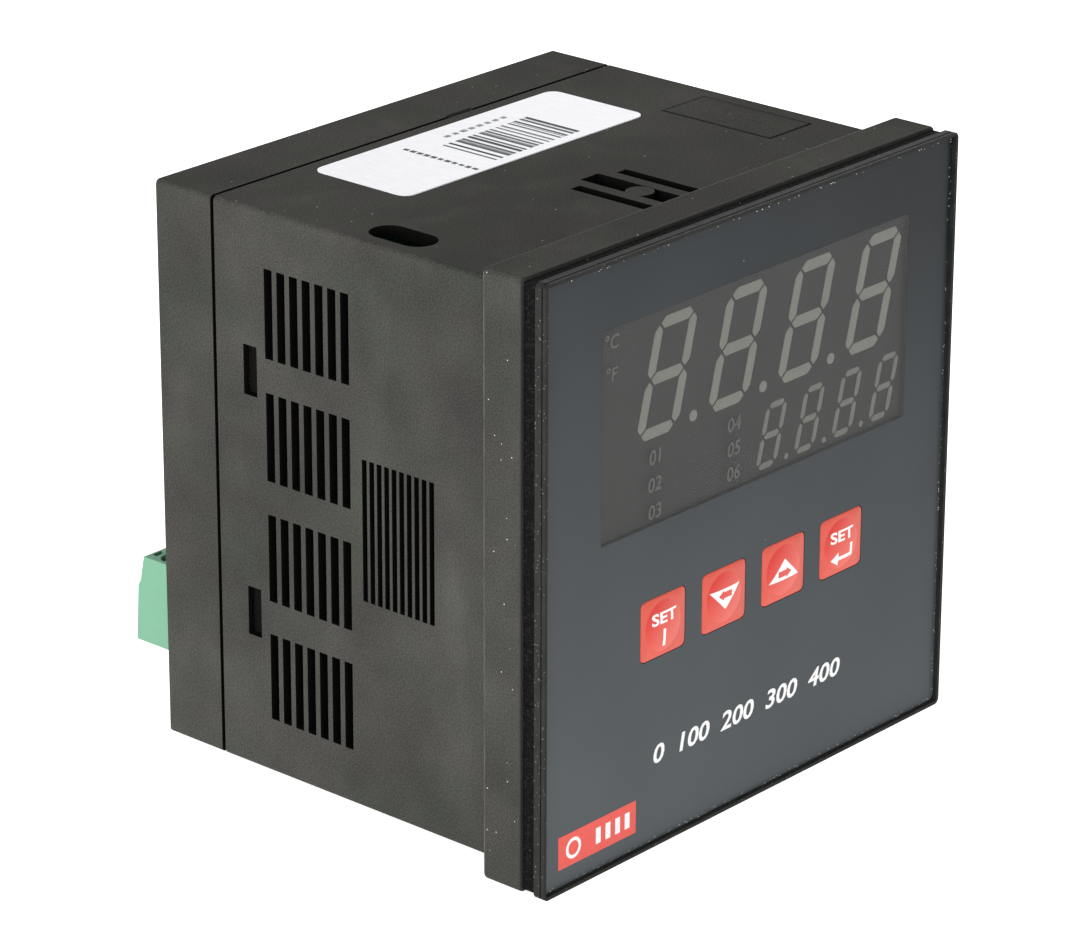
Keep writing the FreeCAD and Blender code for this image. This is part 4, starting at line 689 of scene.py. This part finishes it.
def add_object(name: str, mesh: bpy.types.Mesh, finish: Finish | None = None) -> Piece:
    """Put a mesh in the scene as an object at the origin.

    Args:
        name: The object's name.
        mesh: Its mesh, already in place.
        finish: Its finish, or None to keep what the mesh has.

    Returns:
        The object.
    """
    piece = bpy.data.objects.new(name, mesh)
    bpy.context.scene.collection.objects.link(piece)
    if finish:
        mesh.materials.clear()
        mesh.materials.append(finish.material())
    return piece


def evaluated_mesh(piece: Piece) -> bpy.types.Mesh:
    """Return a plain mesh of an object with its modifiers or its curve applied."""
    graph = bpy.context.evaluated_depsgraph_get()
    return bpy.data.meshes.new_from_object(piece.evaluated_get(graph), depsgraph=graph)


def settle(piece: Piece) -> Piece:
    """Apply an object's modifiers to its mesh and return the object."""
    mesh = evaluated_mesh(piece)
    piece.modifiers.clear()
    piece.data = mesh
    return piece


def fix_order(mesh: bpy.types.Mesh) -> None:
    """Put a mesh's points and faces in an order set by place, which a boolean leaves to chance."""
    points = sorted((tuple(point.co), point.index) for point in mesh.vertices)
    numbers = {index: number for number, (_, index) in enumerate(points)}
    faces = []
    for polygon in mesh.polygons:
        loop = [numbers[index] for index in polygon.vertices]
        start = loop.index(min(loop))
        faces.append(loop[start:] + loop[:start])
    mesh.clear_geometry()
    mesh.from_pydata([point for point, _ in points], [], sorted(faces))


def close_seams(mesh: bpy.types.Mesh, reach: float) -> None:
    """Merge doubled points and turn every face outwards."""
    body = bmesh.new()
    body.from_mesh(mesh)
    bmesh.ops.remove_doubles(body, verts=body.verts, dist=reach)
    bmesh.ops.recalc_face_normals(body, faces=body.faces)
    body.to_mesh(mesh)
    body.free()


def add_print(name: str, drawing: bpy.types.Curve, at: Vector, finish: Finish, body: str,
              size: Point | None = None, slant: float = 0.0) -> Piece:
    """Turn a flat drawing into a thin closed print that faces the front.

    Args:
        name: The print's name.
        drawing: A flat curve or text in its own plane, with thickness.
        at: The middle of the print, on the face.
        finish: The ink.
        body: The CAD body that the print rides on.
        size: Width and height to stretch the drawing to, or None to keep it. A width of 0 keeps its shape.
        slant: How far the print leans to the right for each unit of height.

    Returns:
        The print.
    """
    holder = bpy.data.objects.new(name + "_drawing", drawing)
    bpy.context.scene.collection.objects.link(holder)
    mesh = evaluated_mesh(holder)
    bpy.data.objects.remove(holder)
    low = [min(point.co[axis] for point in mesh.vertices) for axis in range(3)]
    high = [max(point.co[axis] for point in mesh.vertices) for axis in range(3)]
    middle = Vector([(low[axis] + high[axis]) / 2 for axis in range(3)])
    if not size:
        middle = Vector((0, 0, middle.z))
    wide, tall = size or (high[0] - low[0], high[1] - low[1])
    upright = tall / (high[1] - low[1])
    stretch = (wide / (high[0] - low[0]) if wide else upright, upright)
    for point in mesh.vertices:
        flat = point.co - middle
        up = flat.y * stretch[1]
        point.co = (flat.x * stretch[0] + up * slant, up, PRINT if flat.z > 0 else 0.0)
    mesh.transform(Matrix.Translation(at) @ TO_FRONT)
    close_seams(mesh, FINE_SEAM)
    piece = add_object(name, mesh, finish)
    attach(piece, body)
    return piece


def lettering(words: str, weight: float = 0.0) -> bpy.types.Curve:
    """Return a text drawing one unit high.

    Args:
        words: The characters.
        weight: How much each stroke is thickened.

    Returns:
        The text.
    """
    text = bpy.data.curves.new("lettering", "FONT")
    text.body = words
    text.offset = weight
    text.extrude = DRAWING_DEPTH
    text.resolution_u = 3
    return text


def outline(*loops: Iterable[Point]) -> bpy.types.Curve:
    """Return a filled drawing bounded by closed loops, where a loop inside another is a hole."""
    drawing = bpy.data.curves.new("outline", "CURVE")
    drawing.dimensions = "2D"
    drawing.fill_mode = "BOTH"
    drawing.extrude = DRAWING_DEPTH
    for loop in loops:
        points = list(loop)
        spline = drawing.splines.new("POLY")
        spline.points.add(len(points) - 1)
        for target, (x, y) in zip(spline.points, points):
            target.co = (x, y, 0, 1)
        spline.use_cyclic_u = True
    return drawing


def scaled_outline(*loops: Iterable[Point]) -> bpy.types.Curve:
    """Return a filled drawing bounded by closed loops given in millimetres."""
    return outline(*([(x * MM, y * MM) for x, y in loop] for loop in loops))


def rectangle(centre: Point, width: float, height: float) -> list[Point]:
    """Return the corners of a rectangle."""
    x, y = centre
    return [(x + sx * width / 2, y + sy * height / 2) for sx, sy in ((-1, -1), (1, -1), (1, 1), (-1, 1))]


def circle(centre: Point, radius: float, steps: int = 32) -> list[Point]:
    """Return points round a circle."""
    angles = [math.tau * step / steps for step in range(steps)]
    return [(centre[0] + radius * math.cos(angle), centre[1] + radius * math.sin(angle)) for angle in angles]


class Recipe(NodeBuilder):
    """A geometry-node tree with named inputs that ends as one plain mesh."""

    def __init__(self, name: str) -> None:
        """Start a tree with a geometry output."""
        super().__init__(bpy.data.node_groups.new(name, "GeometryNodeTree"))
        self.tree.interface.new_socket("Geometry", in_out="OUTPUT", socket_type="NodeSocketGeometry")
        self.inlet = self.tree.nodes.new("NodeGroupInput")
        self.outlet = self.tree.nodes.new("NodeGroupOutput")
        self.identifiers: dict[str, str] = {}

    def take(self, name: str, kind: str) -> Socket:
        """Add a named input and return its socket inside the tree."""
        item = self.tree.interface.new_socket(name, in_out="INPUT", socket_type="NodeSocket" + kind)
        self.identifiers[name] = item.identifier
        return self.inlet.outputs[name]

    def finish(self, instances: Socket, material: Socket) -> None:
        """End the tree by making its instances real and setting their material."""
        real = self.add("GeometryNodeRealizeInstances", {0: instances}).outputs[0]
        dressed = self.add("GeometryNodeSetMaterial", {"Geometry": real, "Material": material}).outputs[0]
        self.tree.links.new(dressed, self.outlet.inputs[0])

    def make(self, name: str, values: dict[str, Any]) -> Piece:
        """Run the tree with its inputs set.

        Args:
            name: The name of the object to make.
            values: The value of each named input.

        Returns:
            An object that holds the result as a plain mesh.
        """
        piece = add_object(name, bpy.data.meshes.new(name))
        modifier = piece.modifiers.new(name, "NODES")
        modifier.node_group = self.tree
        for label, value in values.items():
            modifier[self.identifiers[label]] = value
        return settle(piece)


def bar_row_recipe() -> Recipe:
    """Return a tree that sets bars of random width along a line."""
    recipe = Recipe("bar_row")
    count = recipe.take("Bar Count", "Int")
    start = recipe.take("First Bar", "Vector")
    step = recipe.take("Step", "Vector")
    jitter = recipe.take("Jitter", "Vector")
    slim = recipe.take("Slimmest Bar", "Vector")
    wide = recipe.take("Widest Bar", "Vector")
    seed = recipe.take("Seed", "Int")
    ink = recipe.take("Ink", "Material")
    line = recipe.add("GeometryNodeMeshLine", {"Count": count, "Start Location": start, "Offset": step})
    size = recipe.add("FunctionNodeRandomValue", {0: slim, 1: wide, "Seed": seed}, data_type="FLOAT_VECTOR")
    nudge = recipe.add("FunctionNodeRandomValue", {0: (0.0, 0.0, 0.0), 1: jitter, "Seed": seed},
                       data_type="FLOAT_VECTOR")
    uneven = recipe.add("GeometryNodeSetPosition", {"Geometry": line.outputs[0], "Offset": nudge.outputs[0]})
    bar = recipe.add("GeometryNodeMeshCube")
    inputs = {"Points": uneven.outputs[0], "Instance": bar.outputs[0], "Scale": size.outputs[0]}
    recipe.finish(recipe.add("GeometryNodeInstanceOnPoints", inputs).outputs[0], ink)
    return recipe


def screw_row_recipe() -> Recipe:
    """Return a tree that sets screws along a row, each turned at random."""
    recipe = Recipe("screw_row")
    count = recipe.take("Screw Count", "Int")
    start = recipe.take("First Screw", "Vector")
    step = recipe.take("Step", "Vector")
    screw = recipe.take("Screw", "Object")
    seed = recipe.take("Seed", "Int")
    steel = recipe.take("Steel", "Material")
    line = recipe.add("GeometryNodeMeshLine", {"Count": count, "Start Location": start, "Offset": step})
    shape = recipe.add("GeometryNodeObjectInfo", {"Object": screw})
    angle = recipe.add("FunctionNodeRandomValue", {0: (0.0, 0.0, 0.0), 1: (0.0, 0.0, math.pi), "Seed": seed},
                       data_type="FLOAT_VECTOR")
    turn = recipe.add("FunctionNodeEulerToRotation", {0: angle.outputs[0]})
    inputs = {"Points": line.outputs[0], "Instance": shape.outputs["Geometry"], "Rotation": turn.outputs[0]}
    recipe.finish(recipe.add("GeometryNodeInstanceOnPoints", inputs).outputs[0], steel)
    return recipe


@dataclass
class Studio:
    """The floor, the even white light and the camera."""

    floor_drop: float = 0.05 * MM
    floor_size: float = 6.0
    camera_place: Place = (-0.529883, -0.426944, 0.273166)
    camera_forward: Place = (0.697281, 0.615842, -0.366794)
    camera_up: Place = (0.273433, 0.244493, 0.930300)
    camera_lens: float = 162.03
    camera_shift: Point = (0.01111, 0.00278)
    sky_glow: float = 0.75
    lamps: dict[str, tuple[Place, float, float]] = field(default_factory=lambda: {
        "left_softbox": ((-1.3, 0.1, 0.1), 1.2, 22.0),
        "front_softbox": ((-0.2, -1.4, 0.0), 1.0, 2.0),
        "right_softbox": ((1.3, 0.5, 0.4), 1.2, 6.0),
    })

    def build(self) -> None:
        """Build the whole studio."""
        self.build_floor()
        self.build_sky()
        self.build_lamps()
        self.build_camera()

    def build_floor(self) -> None:
        """Lay a pale floor just under the controller."""
        low = Vector(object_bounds()[0])
        mesh = bpy.data.meshes.new("studio_floor")
        corners = rectangle((0, 0), self.floor_size, self.floor_size)
        mesh.from_pydata([(x, y, low.z - self.floor_drop) for x, y in corners], [], [(0, 1, 2, 3)])
        finish = StudioSurface("studio_floor_white", srgb(244, 244, 244), 0.9)
        add_object("studio_floor", mesh, finish)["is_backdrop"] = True

    def build_sky(self) -> None:
        """Surround the set with plain white, dimmer as a light than to the eye."""
        world = bpy.data.worlds.new("studio_sky")
        world.use_nodes = True
        nodes = NodeBuilder(world.node_tree)
        glow, seen = (nodes.add("ShaderNodeBackground", {"Color": grey(1), "Strength": strength}).outputs[0]
                      for strength in (self.sky_glow, 1))
        path = nodes.add("ShaderNodeLightPath").outputs["Is Camera Ray"]
        choice = nodes.add("ShaderNodeMixShader", {0: path, 1: glow, 2: seen}).outputs[0]
        nodes.add("ShaderNodeOutputWorld", {"Surface": choice})
        bpy.context.scene.world = world
        bpy.context.scene.view_settings.view_transform = "Standard"

    def build_lamps(self) -> None:
        """Add the broad soft lamps."""
        for name, (place, size, power) in self.lamps.items():
            self.add_lamp(name, place, size, power)

    def add_lamp(self, name: str, place: Place, size: float, power: float) -> None:
        """Aim one square lamp at the controller."""
        lamp = bpy.data.lights.new(name, "AREA")
        lamp.size = size
        lamp.energy = power
        holder = bpy.data.objects.new(name, lamp)
        holder.location = place
        holder.rotation_euler = (-Vector(place)).to_track_quat("-Z", "Y").to_euler()
        bpy.context.scene.collection.objects.link(holder)

    def build_camera(self) -> None:
        """Set the camera at its place."""
        lens = bpy.data.cameras.new("camera")
        lens.lens = self.camera_lens
        lens.sensor_width = 36.0
        lens.shift_x, lens.shift_y = self.camera_shift
        lens.clip_start = 0.01
        back = -Vector(self.camera_forward).normalized()
        right = Vector(self.camera_up).cross(back).normalized()
        up = back.cross(right)
        turn = Matrix((right, up, back)).transposed().to_4x4()
        camera = bpy.data.objects.new("camera", lens)
        camera.matrix_world = Matrix.Translation(self.camera_place) @ turn
        bpy.context.scene.collection.objects.link(camera)
        bpy.context.scene.camera = camera


@dataclass
class Housing:
    """The moulded case parts and the label on top."""

    nodes: dict[str, Piece]
    softened: dict[str, tuple[str, float, Finish]] = field(default_factory=lambda: {
        "main_case": ("case", 0.2 * MM, CASE_EDGE),
        "rear_cover": ("case", 0.2 * MM, CASE_EDGE),
        "clamp_ring": ("clamp_ring", 0.3 * MM, CASE_EDGE),
        "front_bezel": ("case", 0.15 * MM, BEZEL_EDGE),
    })
    flat_angle: float = 0.5
    sharp_angle: float = 40.0

    def build(self) -> None:
        """Soften the moulded edges and print the label."""
        for node, (body, width, edge_highlight) in self.softened.items():
            self.soften(node, body, width, edge_highlight)
        self.print_label()

    def soften(self, node: str, body: str, width: float, edge_highlight: Finish) -> None:
        """Replace a moulded node by a copy whose sharp edges are slightly rounded.

        Args:
            node: The CAD node.
            body: The CAD body it belongs to.
            width: The width of the rounding.
            edge_highlight: The finish of the rounded edges, which carries their painted highlight.
        """
        source = self.nodes[node]
        mesh = source.data.copy()
        work = bmesh.new()
        work.from_mesh(mesh)
        bmesh.ops.remove_doubles(work, verts=work.verts, dist=COARSE_SEAM)
        bmesh.ops.dissolve_limit(work, angle_limit=math.radians(self.flat_angle), verts=work.verts,
                                 edges=work.edges)
        work.to_mesh(mesh)
        work.free()
        mesh.name = node + "_moulding"
        piece = add_object(node + "_moulding", mesh)
        mesh.materials.clear()
        for material in (source.material_slots[0].material, edge_highlight.material()):
            mesh.materials.append(material)
        rounding = piece.modifiers.new("edge_rounding", "BEVEL")
        # The rounded faces take the edge finish with its painted highlight.
        rounding.material = 1
        rounding.width = width
        rounding.segments = 2
        rounding.limit_method = "ANGLE"
        rounding.angle_limit = math.radians(self.sharp_angle)
        rounding.use_clamp_overlap = True
        rounding.harden_normals = True
        settle(piece)
        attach(piece, body)
        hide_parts(node)

    def print_label(self) -> None:
        """Print plain bars and dashes on the label, which stand for no code and no words."""
        recipe = bar_row_recipe()
        for row in LABEL_ROWS:
            row.build(recipe)


@dataclass
class LabelRow:
    """One row of printed bars on the label, its sizes in millimetres."""

    name: str
    count: int
    start: Point
    step: Point
    jitter: float
    slimmest: Point
    widest: Point
    seed: int
    ink: Ink

    def build(self, recipe: Recipe) -> None:
        """Make the row and lay it on the label."""
        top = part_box("top_label")[1].z
        places = {"First Bar": (self.start, top + PRINT / 2), "Step": (self.step, 0),
                  "Jitter": ((self.jitter, 0), 0), "Slimmest Bar": (self.slimmest, PRINT),
                  "Widest Bar": (self.widest, PRINT)}
        values = {"Bar Count": self.count, "Seed": self.seed, "Ink": self.ink.material()}
        for label, ((x, y), z) in places.items():
            values[label] = (x * MM, y * MM, z)
        bars = recipe.make(self.name, values)
        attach(bars, "case")


LABEL_ROWS = (
    LabelRow("label_bars_dark", 15, (-4.9, 48.9), (1.35, 0.0), 0.5, (0.2, 10.9), (0.7, 11.0), 7, DARK_INK),
    LabelRow("label_bars_grey", 8, (-4.2, 48.9), (2.5, 0.0), 0.9, (0.15, 10.9), (0.6, 11.0), 12, GREY_INK),
    LabelRow("label_dashes_rear", 8, (-1.0, 56.9), (1.85, 0.0), 0.0, (0.9, 0.8), (1.35, 1.1), 3, GREY_INK),
    LabelRow("label_dashes_side", 11, (-10.2, 42.8), (0.0, 1.42), 0.0, (0.7, 0.8), (0.9, 1.1), 5, DARK_INK),
)


@dataclass
class FrontPanel:
    """The prints on the film and the window."""

    legend_height: float = 2.3 * MM
    scale_words: str = "0  100  200  300  400"
    scale_centre: Point = (0.1 * MM, -33.2 * MM)
    scale_size: Point = (45 * MM, 3.1 * MM)
    badge_centre: Point = (-35.2 * MM, -41.85 * MM)
    badge_size: Point = (17.6 * MM, 5.3 * MM)

    def build(self) -> None:
        """Lay the mask behind the window and print the scale, the badge field and the legends."""
        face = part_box("front_film")[0].y
        self.lay_mask()
        self.print_scale(face)
        self.print_badge(face)
        self.print_legends(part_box("display_window")[0].y)

    def at(self, face: float, centre: Point) -> Vector:
        """Return a place on the front face."""
        return Vector((centre[0], face, centre[1]))

    def lay_mask(self) -> None:
        """Lay a thin black light mask round the digits, close behind the window."""
        low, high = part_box("display_window")
        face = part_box("large_display")[0].y - PRINT / 2
        wide, tall = high.x - low.x, high.z - low.z
        middle = ((low.x + high.x) / 2, (low.z + high.z) / 2)
        add_print("display_mask", outline(rectangle((0, 0), wide, tall)), self.at(face, middle), MASK, "case")

    def print_scale(self, face: float) -> None:
        """Print a slanted row of plain numbers."""
        add_print("front_scale", lettering(self.scale_words, 0.02), self.at(face, self.scale_centre),
                  PALE_INK, "case", self.scale_size, 0.2)

    def print_badge(self, face: float) -> None:
        """Print a plain red field with a white ring and bars."""
        x, z = self.badge_centre
        wide, tall = self.badge_size
        add_print("badge_field", outline(rectangle((0, 0), wide, tall)), self.at(face, (x, z)), RED_INK,
                  "case")
        ring = outline(circle((0, 0), 1.7 * MM), circle((0, 0), 1.15 * MM))
        add_print("badge_ring", ring, self.at(face - PRINT, (x - 5.4 * MM, z)), PALE_INK, "case")
        bars = outline(*(rectangle((2.2 * step * MM, 0), 1.1 * MM, 2.6 * MM) for step in range(4)))
        add_print("badge_bars", bars, self.at(face - PRINT, (x + 0.2 * MM, z)), PALE_INK, "case")

    def print_legends(self, face: float) -> None:
        """Print the faint marks beside the digits."""
        marks = {"legend_celsius": ("\u00b0C", -32.8, 35.4), "legend_fahrenheit": ("\u00b0F", -32.8, 30.4),
                 "legend_left_one": ("01", -22.9, 14.9), "legend_left_two": ("02", -22.85, 10.6),
                 "legend_left_three": ("03", -22.8, 6.3), "legend_right_one": ("04", -4.6, 14.8),
                 "legend_right_two": ("05", -4.6, 10.9), "legend_right_three": ("06", -4.6, 7.0)}
        for name, (words, x, z) in marks.items():
            add_print(name, lettering(words, 0.01), self.at(face, (x * MM, z * MM)), FAINT_INK, "case",
                      (0, self.legend_height), 0.1)


class KeyMark(Enum):
    """What a key shows."""

    SET = "set"
    DOWN = "down"
    UP = "up"
    ENTER = "enter"


@dataclass
class MembraneKey:
    """One membrane key: a rounded pad, a smooth dome, its stem and its white mark."""

    mark: KeyMark
    pad_depth: float = 1.3 * MM
    corner: float = 0.9 * MM
    dome_radius: float = 4.2 * MM
    dome_rise: float = 0.38 * MM
    stem_radius: float = 1.5 * MM
    chamfer: float = 0.08 * MM
    smooth_depth: float = 0.01 * MM
    longest_edge: float = 0.5 * MM
    rings: int = 12
    steps: int = 72

    def build(self) -> None:
        """Build the key's body and print its mark."""
        node = self.mark.value + "_key"
        low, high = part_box(node)
        centre = ((low.x + high.x) / 2, (low.z + high.z) / 2)
        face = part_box("front_film")[0].y
        mesh = self.body_mesh(low, high, centre, face)
        finish = KeyMembrane(f"{node}_membrane", srgb(206, 77, 60), 0.42, centre=centre)
        piece = add_object(node + "_membrane", mesh, finish)
        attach(piece, node)
        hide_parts(node)
        self.print_mark(node, centre, face)

    def height(self, reach: float) -> float:
        """Return how far the dome stands proud at a distance from its centre."""
        if reach >= self.dome_radius:
            return 0.0
        share = reach / self.dome_radius
        return self.dome_rise * (1 - share ** 2) * (1 + 0.55 * share ** 2)

    def ring_points(self, centre: Point, radius: float, depth: float) -> list[Place]:
        """Return points round the key's axis."""
        return [(x, depth, z) for x, z in circle(centre, radius, self.steps)]

    def rim(self, centre: Point, size: Point, depth: float, angle: float) -> Place:
        """Return the point of the pad's rounded outline in a direction from its centre."""
        x, z = math.cos(angle), math.sin(angle)
        half = (size[0] / 2, size[1] / 2)
        reach = min(side / abs(part) for side, part in zip(half, (x, z)) if abs(part) > NO_SLOPE)
        px, pz = x * reach, z * reach
        inner = (half[0] - self.corner, half[1] - self.corner)
        if abs(px) > inner[0] and abs(pz) > inner[1]:
            away = Vector((abs(px) - inner[0], abs(pz) - inner[1])).normalized() * self.corner
            px = math.copysign(inner[0] + away.x, px)
            pz = math.copysign(inner[1] + away.y, pz)
        return centre[0] + px, depth, centre[1] + pz

    def body_mesh(self, low: Vector, high: Vector, centre: Point, face: float) -> bpy.types.Mesh:
        """Return the pad, dome and stem as one closed mesh.

        Args:
            low: The CAD key's lowest corner.
            high: The CAD key's highest corner.
            centre: The middle of the key on the face.
            face: The depth of the film's face.

        Returns:
            The mesh.
        """
        size = (high.x - low.x, high.z - low.z)
        back = face + self.pad_depth
        angles = [math.tau * step / self.steps for step in range(self.steps)]
        loops: list[list[Place]] = []
        for ring in range(1, self.rings + 1):
            reach = self.dome_radius * ring / self.rings
            loops.append(self.ring_points(centre, reach, face - self.height(reach)))
        inner = (size[0] - 2 * self.chamfer, size[1] - 2 * self.chamfer)
        for outer, depth in ((inner, face), (size, face + self.chamfer), (size, back)):
            loops.append([self.rim(centre, outer, depth, angle) for angle in angles])
        for depth in (back, high.y):
            loops.append(self.ring_points(centre, self.stem_radius, depth))
        points: list[Place] = [(centre[0], face - self.dome_rise, centre[1])]
        for loop in loops:
            points.extend(loop)
        points.append((centre[0], high.y, centre[1]))
        faces: list[tuple[int, ...]] = []
        for step in range(self.steps):
            after = (step + 1) % self.steps
            faces.append((0, 1 + step, 1 + after))
            for row in range(len(loops) - 1):
                here, there = 1 + row * self.steps, 1 + (row + 1) * self.steps
                faces.append((here + step, there + step, there + after, here + after))
            last = 1 + (len(loops) - 1) * self.steps
            faces.append((last + step, len(points) - 1, last + after))
        mesh = bpy.data.meshes.new(self.mark.value + "_key_membrane")
        mesh.from_pydata(points, [], faces)
        close_seams(mesh, FINEST_SEAM)
        for polygon in mesh.polygons:
            depths = [mesh.vertices[number].co.y for number in polygon.vertices]
            polygon.use_smooth = max(depths) < face + self.smooth_depth
        return mesh

    def print_mark(self, node: str, centre: Point, face: float) -> None:
        """Print the key's white mark over the dome."""
        x, z = centre
        if self.mark in (KeyMark.SET, KeyMark.ENTER):
            self.mark_dome(node, (x, z + 1.4 * MM), lettering("SET", 0.025), face, (5.6 * MM, 1.9 * MM))
        if self.mark is KeyMark.SET:
            self.mark_dome(node + "_number", (x, z - 1.9 * MM), lettering("1", 0.025), face, (0, 2.8 * MM))
        elif self.mark is KeyMark.ENTER:
            loop = [(-2.6, -2.3), (-0.9, -1.2), (-0.9, -2.0), (2.0, -2.0), (2.0, -0.4), (2.6, -0.4),
                    (2.6, -2.6), (-0.9, -2.6), (-0.9, -3.4)]
            self.mark_dome(node + "_arrow", centre, scaled_outline(loop), face)
        else:
            self.mark_dome(node, centre, scaled_outline(*self.triangle_loops()), face)

    def triangle_loops(self) -> list[list[Point]]:
        """Return the triangle with an arrow cut out of it, in millimetres round the key's centre."""
        sense = 1 if self.mark is KeyMark.UP else -1
        triangle = [(0.0, 1.9 * sense), (-3.5, -1.5 * sense), (3.5, -1.5 * sense)]
        arrow = [(-1.5, -0.95), (0.4, -0.95), (0.4, -1.3), (1.6, -0.45), (0.4, 0.4), (0.4, 0.05),
                 (-1.5, 0.05)]
        return [triangle, [(px * sense, pz * sense) for px, pz in arrow]]

    def mark_dome(self, name: str, at: Point, drawing: bpy.types.Curve, face: float,
                  size: Point | None = None) -> None:
        """Print a drawing on the face and drape it over the dome."""
        self.lift(add_print(name + "_mark", drawing, Vector((at[0], face, at[1])), BLUSH_INK,
                            self.mark.value + "_key", size))

    def lift(self, piece: Piece) -> None:
        """Drape a flat mark over the dome."""
        low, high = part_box(self.mark.value + "_key")
        cx, cz = (low.x + high.x) / 2, (low.z + high.z) / 2
        body = bmesh.new()
        body.from_mesh(piece.data)
        for _ in range(3):
            edges = [edge for edge in body.edges if edge.calc_length() > self.longest_edge]
            if not edges:
                break
            bmesh.ops.subdivide_edges(body, edges=edges, cuts=1)
            bmesh.ops.triangulate(body, faces=body.faces)
        for point in body.verts:
            point.co.y -= self.height(math.hypot(point.co.x - cx, point.co.z - cz))
        body.to_mesh(piece.data)
        body.free()


@dataclass
class TerminalPlugs:
    """The slotted screws of the two pull-off terminal plugs."""

    pole_count: int = 8
    pole_pitch: float = 5.08 * MM
    head_radius: float = 1.6 * MM
    head_height: float = 1.4 * MM
    slot_width: float = 0.5 * MM
    slot_depth: float = 0.7 * MM
    shank_radius: float = 1.25 * MM
    sides: int = 24

    def build(self) -> None:
        """Set a row of slotted screws in each plug."""
        screw = self.screw_object()
        recipe = screw_row_recipe()
        for side, seed in (("left", 4), ("right", 9)):
            low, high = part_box(f"plug_screws_{side}")
            start = (low.x + self.head_radius, (low.y + high.y) / 2, high.z)
            values = {"Screw Count": self.pole_count, "First Screw": start, "Step": (self.pole_pitch, 0, 0),
                      "Screw": screw, "Seed": seed, "Steel": SLOTS["screw_steel"].material()}
            row = recipe.make(f"slotted_screws_{side}", values)
            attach(row, f"plug_{side}")
            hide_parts(f"plug_screws_{side}")
            log.info("screws %s: %d faces", side, len(row.data.polygons))
        bpy.data.objects.remove(screw)

    def screw_object(self) -> Piece:
        """Return one screw with its head's top at the origin, its head chamfered and slotted."""
        low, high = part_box("plug_screws_left")
        shank = high.z - low.z
        body = bmesh.new()
        head, neck = self.head_radius, self.shank_radius
        profile = [(0.0, 0.0), (head * 0.86, 0.0), (head, -0.14 * head), (head, -self.head_height),
                   (neck, -self.head_height), (neck, -shank), (0.0, -shank)]
        verts = [body.verts.new((x, 0, z)) for x, z in profile]
        edges = [body.edges.new((a, b)) for a, b in zip(verts, verts[1:])]
        bmesh.ops.spin(body, geom=verts + edges, cent=(0, 0, 0), axis=(0, 0, 1), angle=math.tau,
                       steps=self.sides)
        bmesh.ops.remove_doubles(body, verts=body.verts, dist=FINE_SEAM)
        bmesh.ops.recalc_face_normals(body, faces=body.faces)
        mesh = bpy.data.meshes.new("slotted_screw")
        body.to_mesh(mesh)
        body.free()
        piece = add_object("slotted_screw", mesh)
        cutter_mesh = bpy.data.meshes.new("slot_cutter")
        cut = bmesh.new()
        block = Matrix.Diagonal((head * 3, self.slot_width, self.slot_depth * 2, 1))
        bmesh.ops.create_cube(cut, size=1, matrix=block)
        cut.to_mesh(cutter_mesh)
        cut.free()
        cutter = add_object("slot_cutter", cutter_mesh)
        slot = piece.modifiers.new("slot", "BOOLEAN")
        slot.operation = "DIFFERENCE"
        slot.object = cutter
        slot.solver = "EXACT"
        settle(piece)
        fix_order(piece.data)
        bpy.data.objects.remove(cutter)
        return piece


def dress_nodes(nodes: dict[str, Piece]) -> None:
    """Give every CAD node the finish of its material slot."""
    for name, node in nodes.items():
        for holder in node.material_slots:
            slot = holder.material.name.split(".")[0]
            holder.material = OWN_FINISH.get(name, SLOTS[slot]).material()
        log.info("dressed %s", name)


def main() -> None:
    """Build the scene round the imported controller."""
    logging.basicConfig(level=logging.INFO, format="%(name)s: %(message)s")
    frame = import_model()
    nodes = frame["nodes"]
    Studio().build()
    dress_nodes(nodes)
    Housing(nodes).build()
    FrontPanel().build()
    for mark in KeyMark:
        MembraneKey(mark).build()
        log.info("built key %s", mark.value)
    TerminalPlugs().build()


if __name__ == "__main__":
    main()
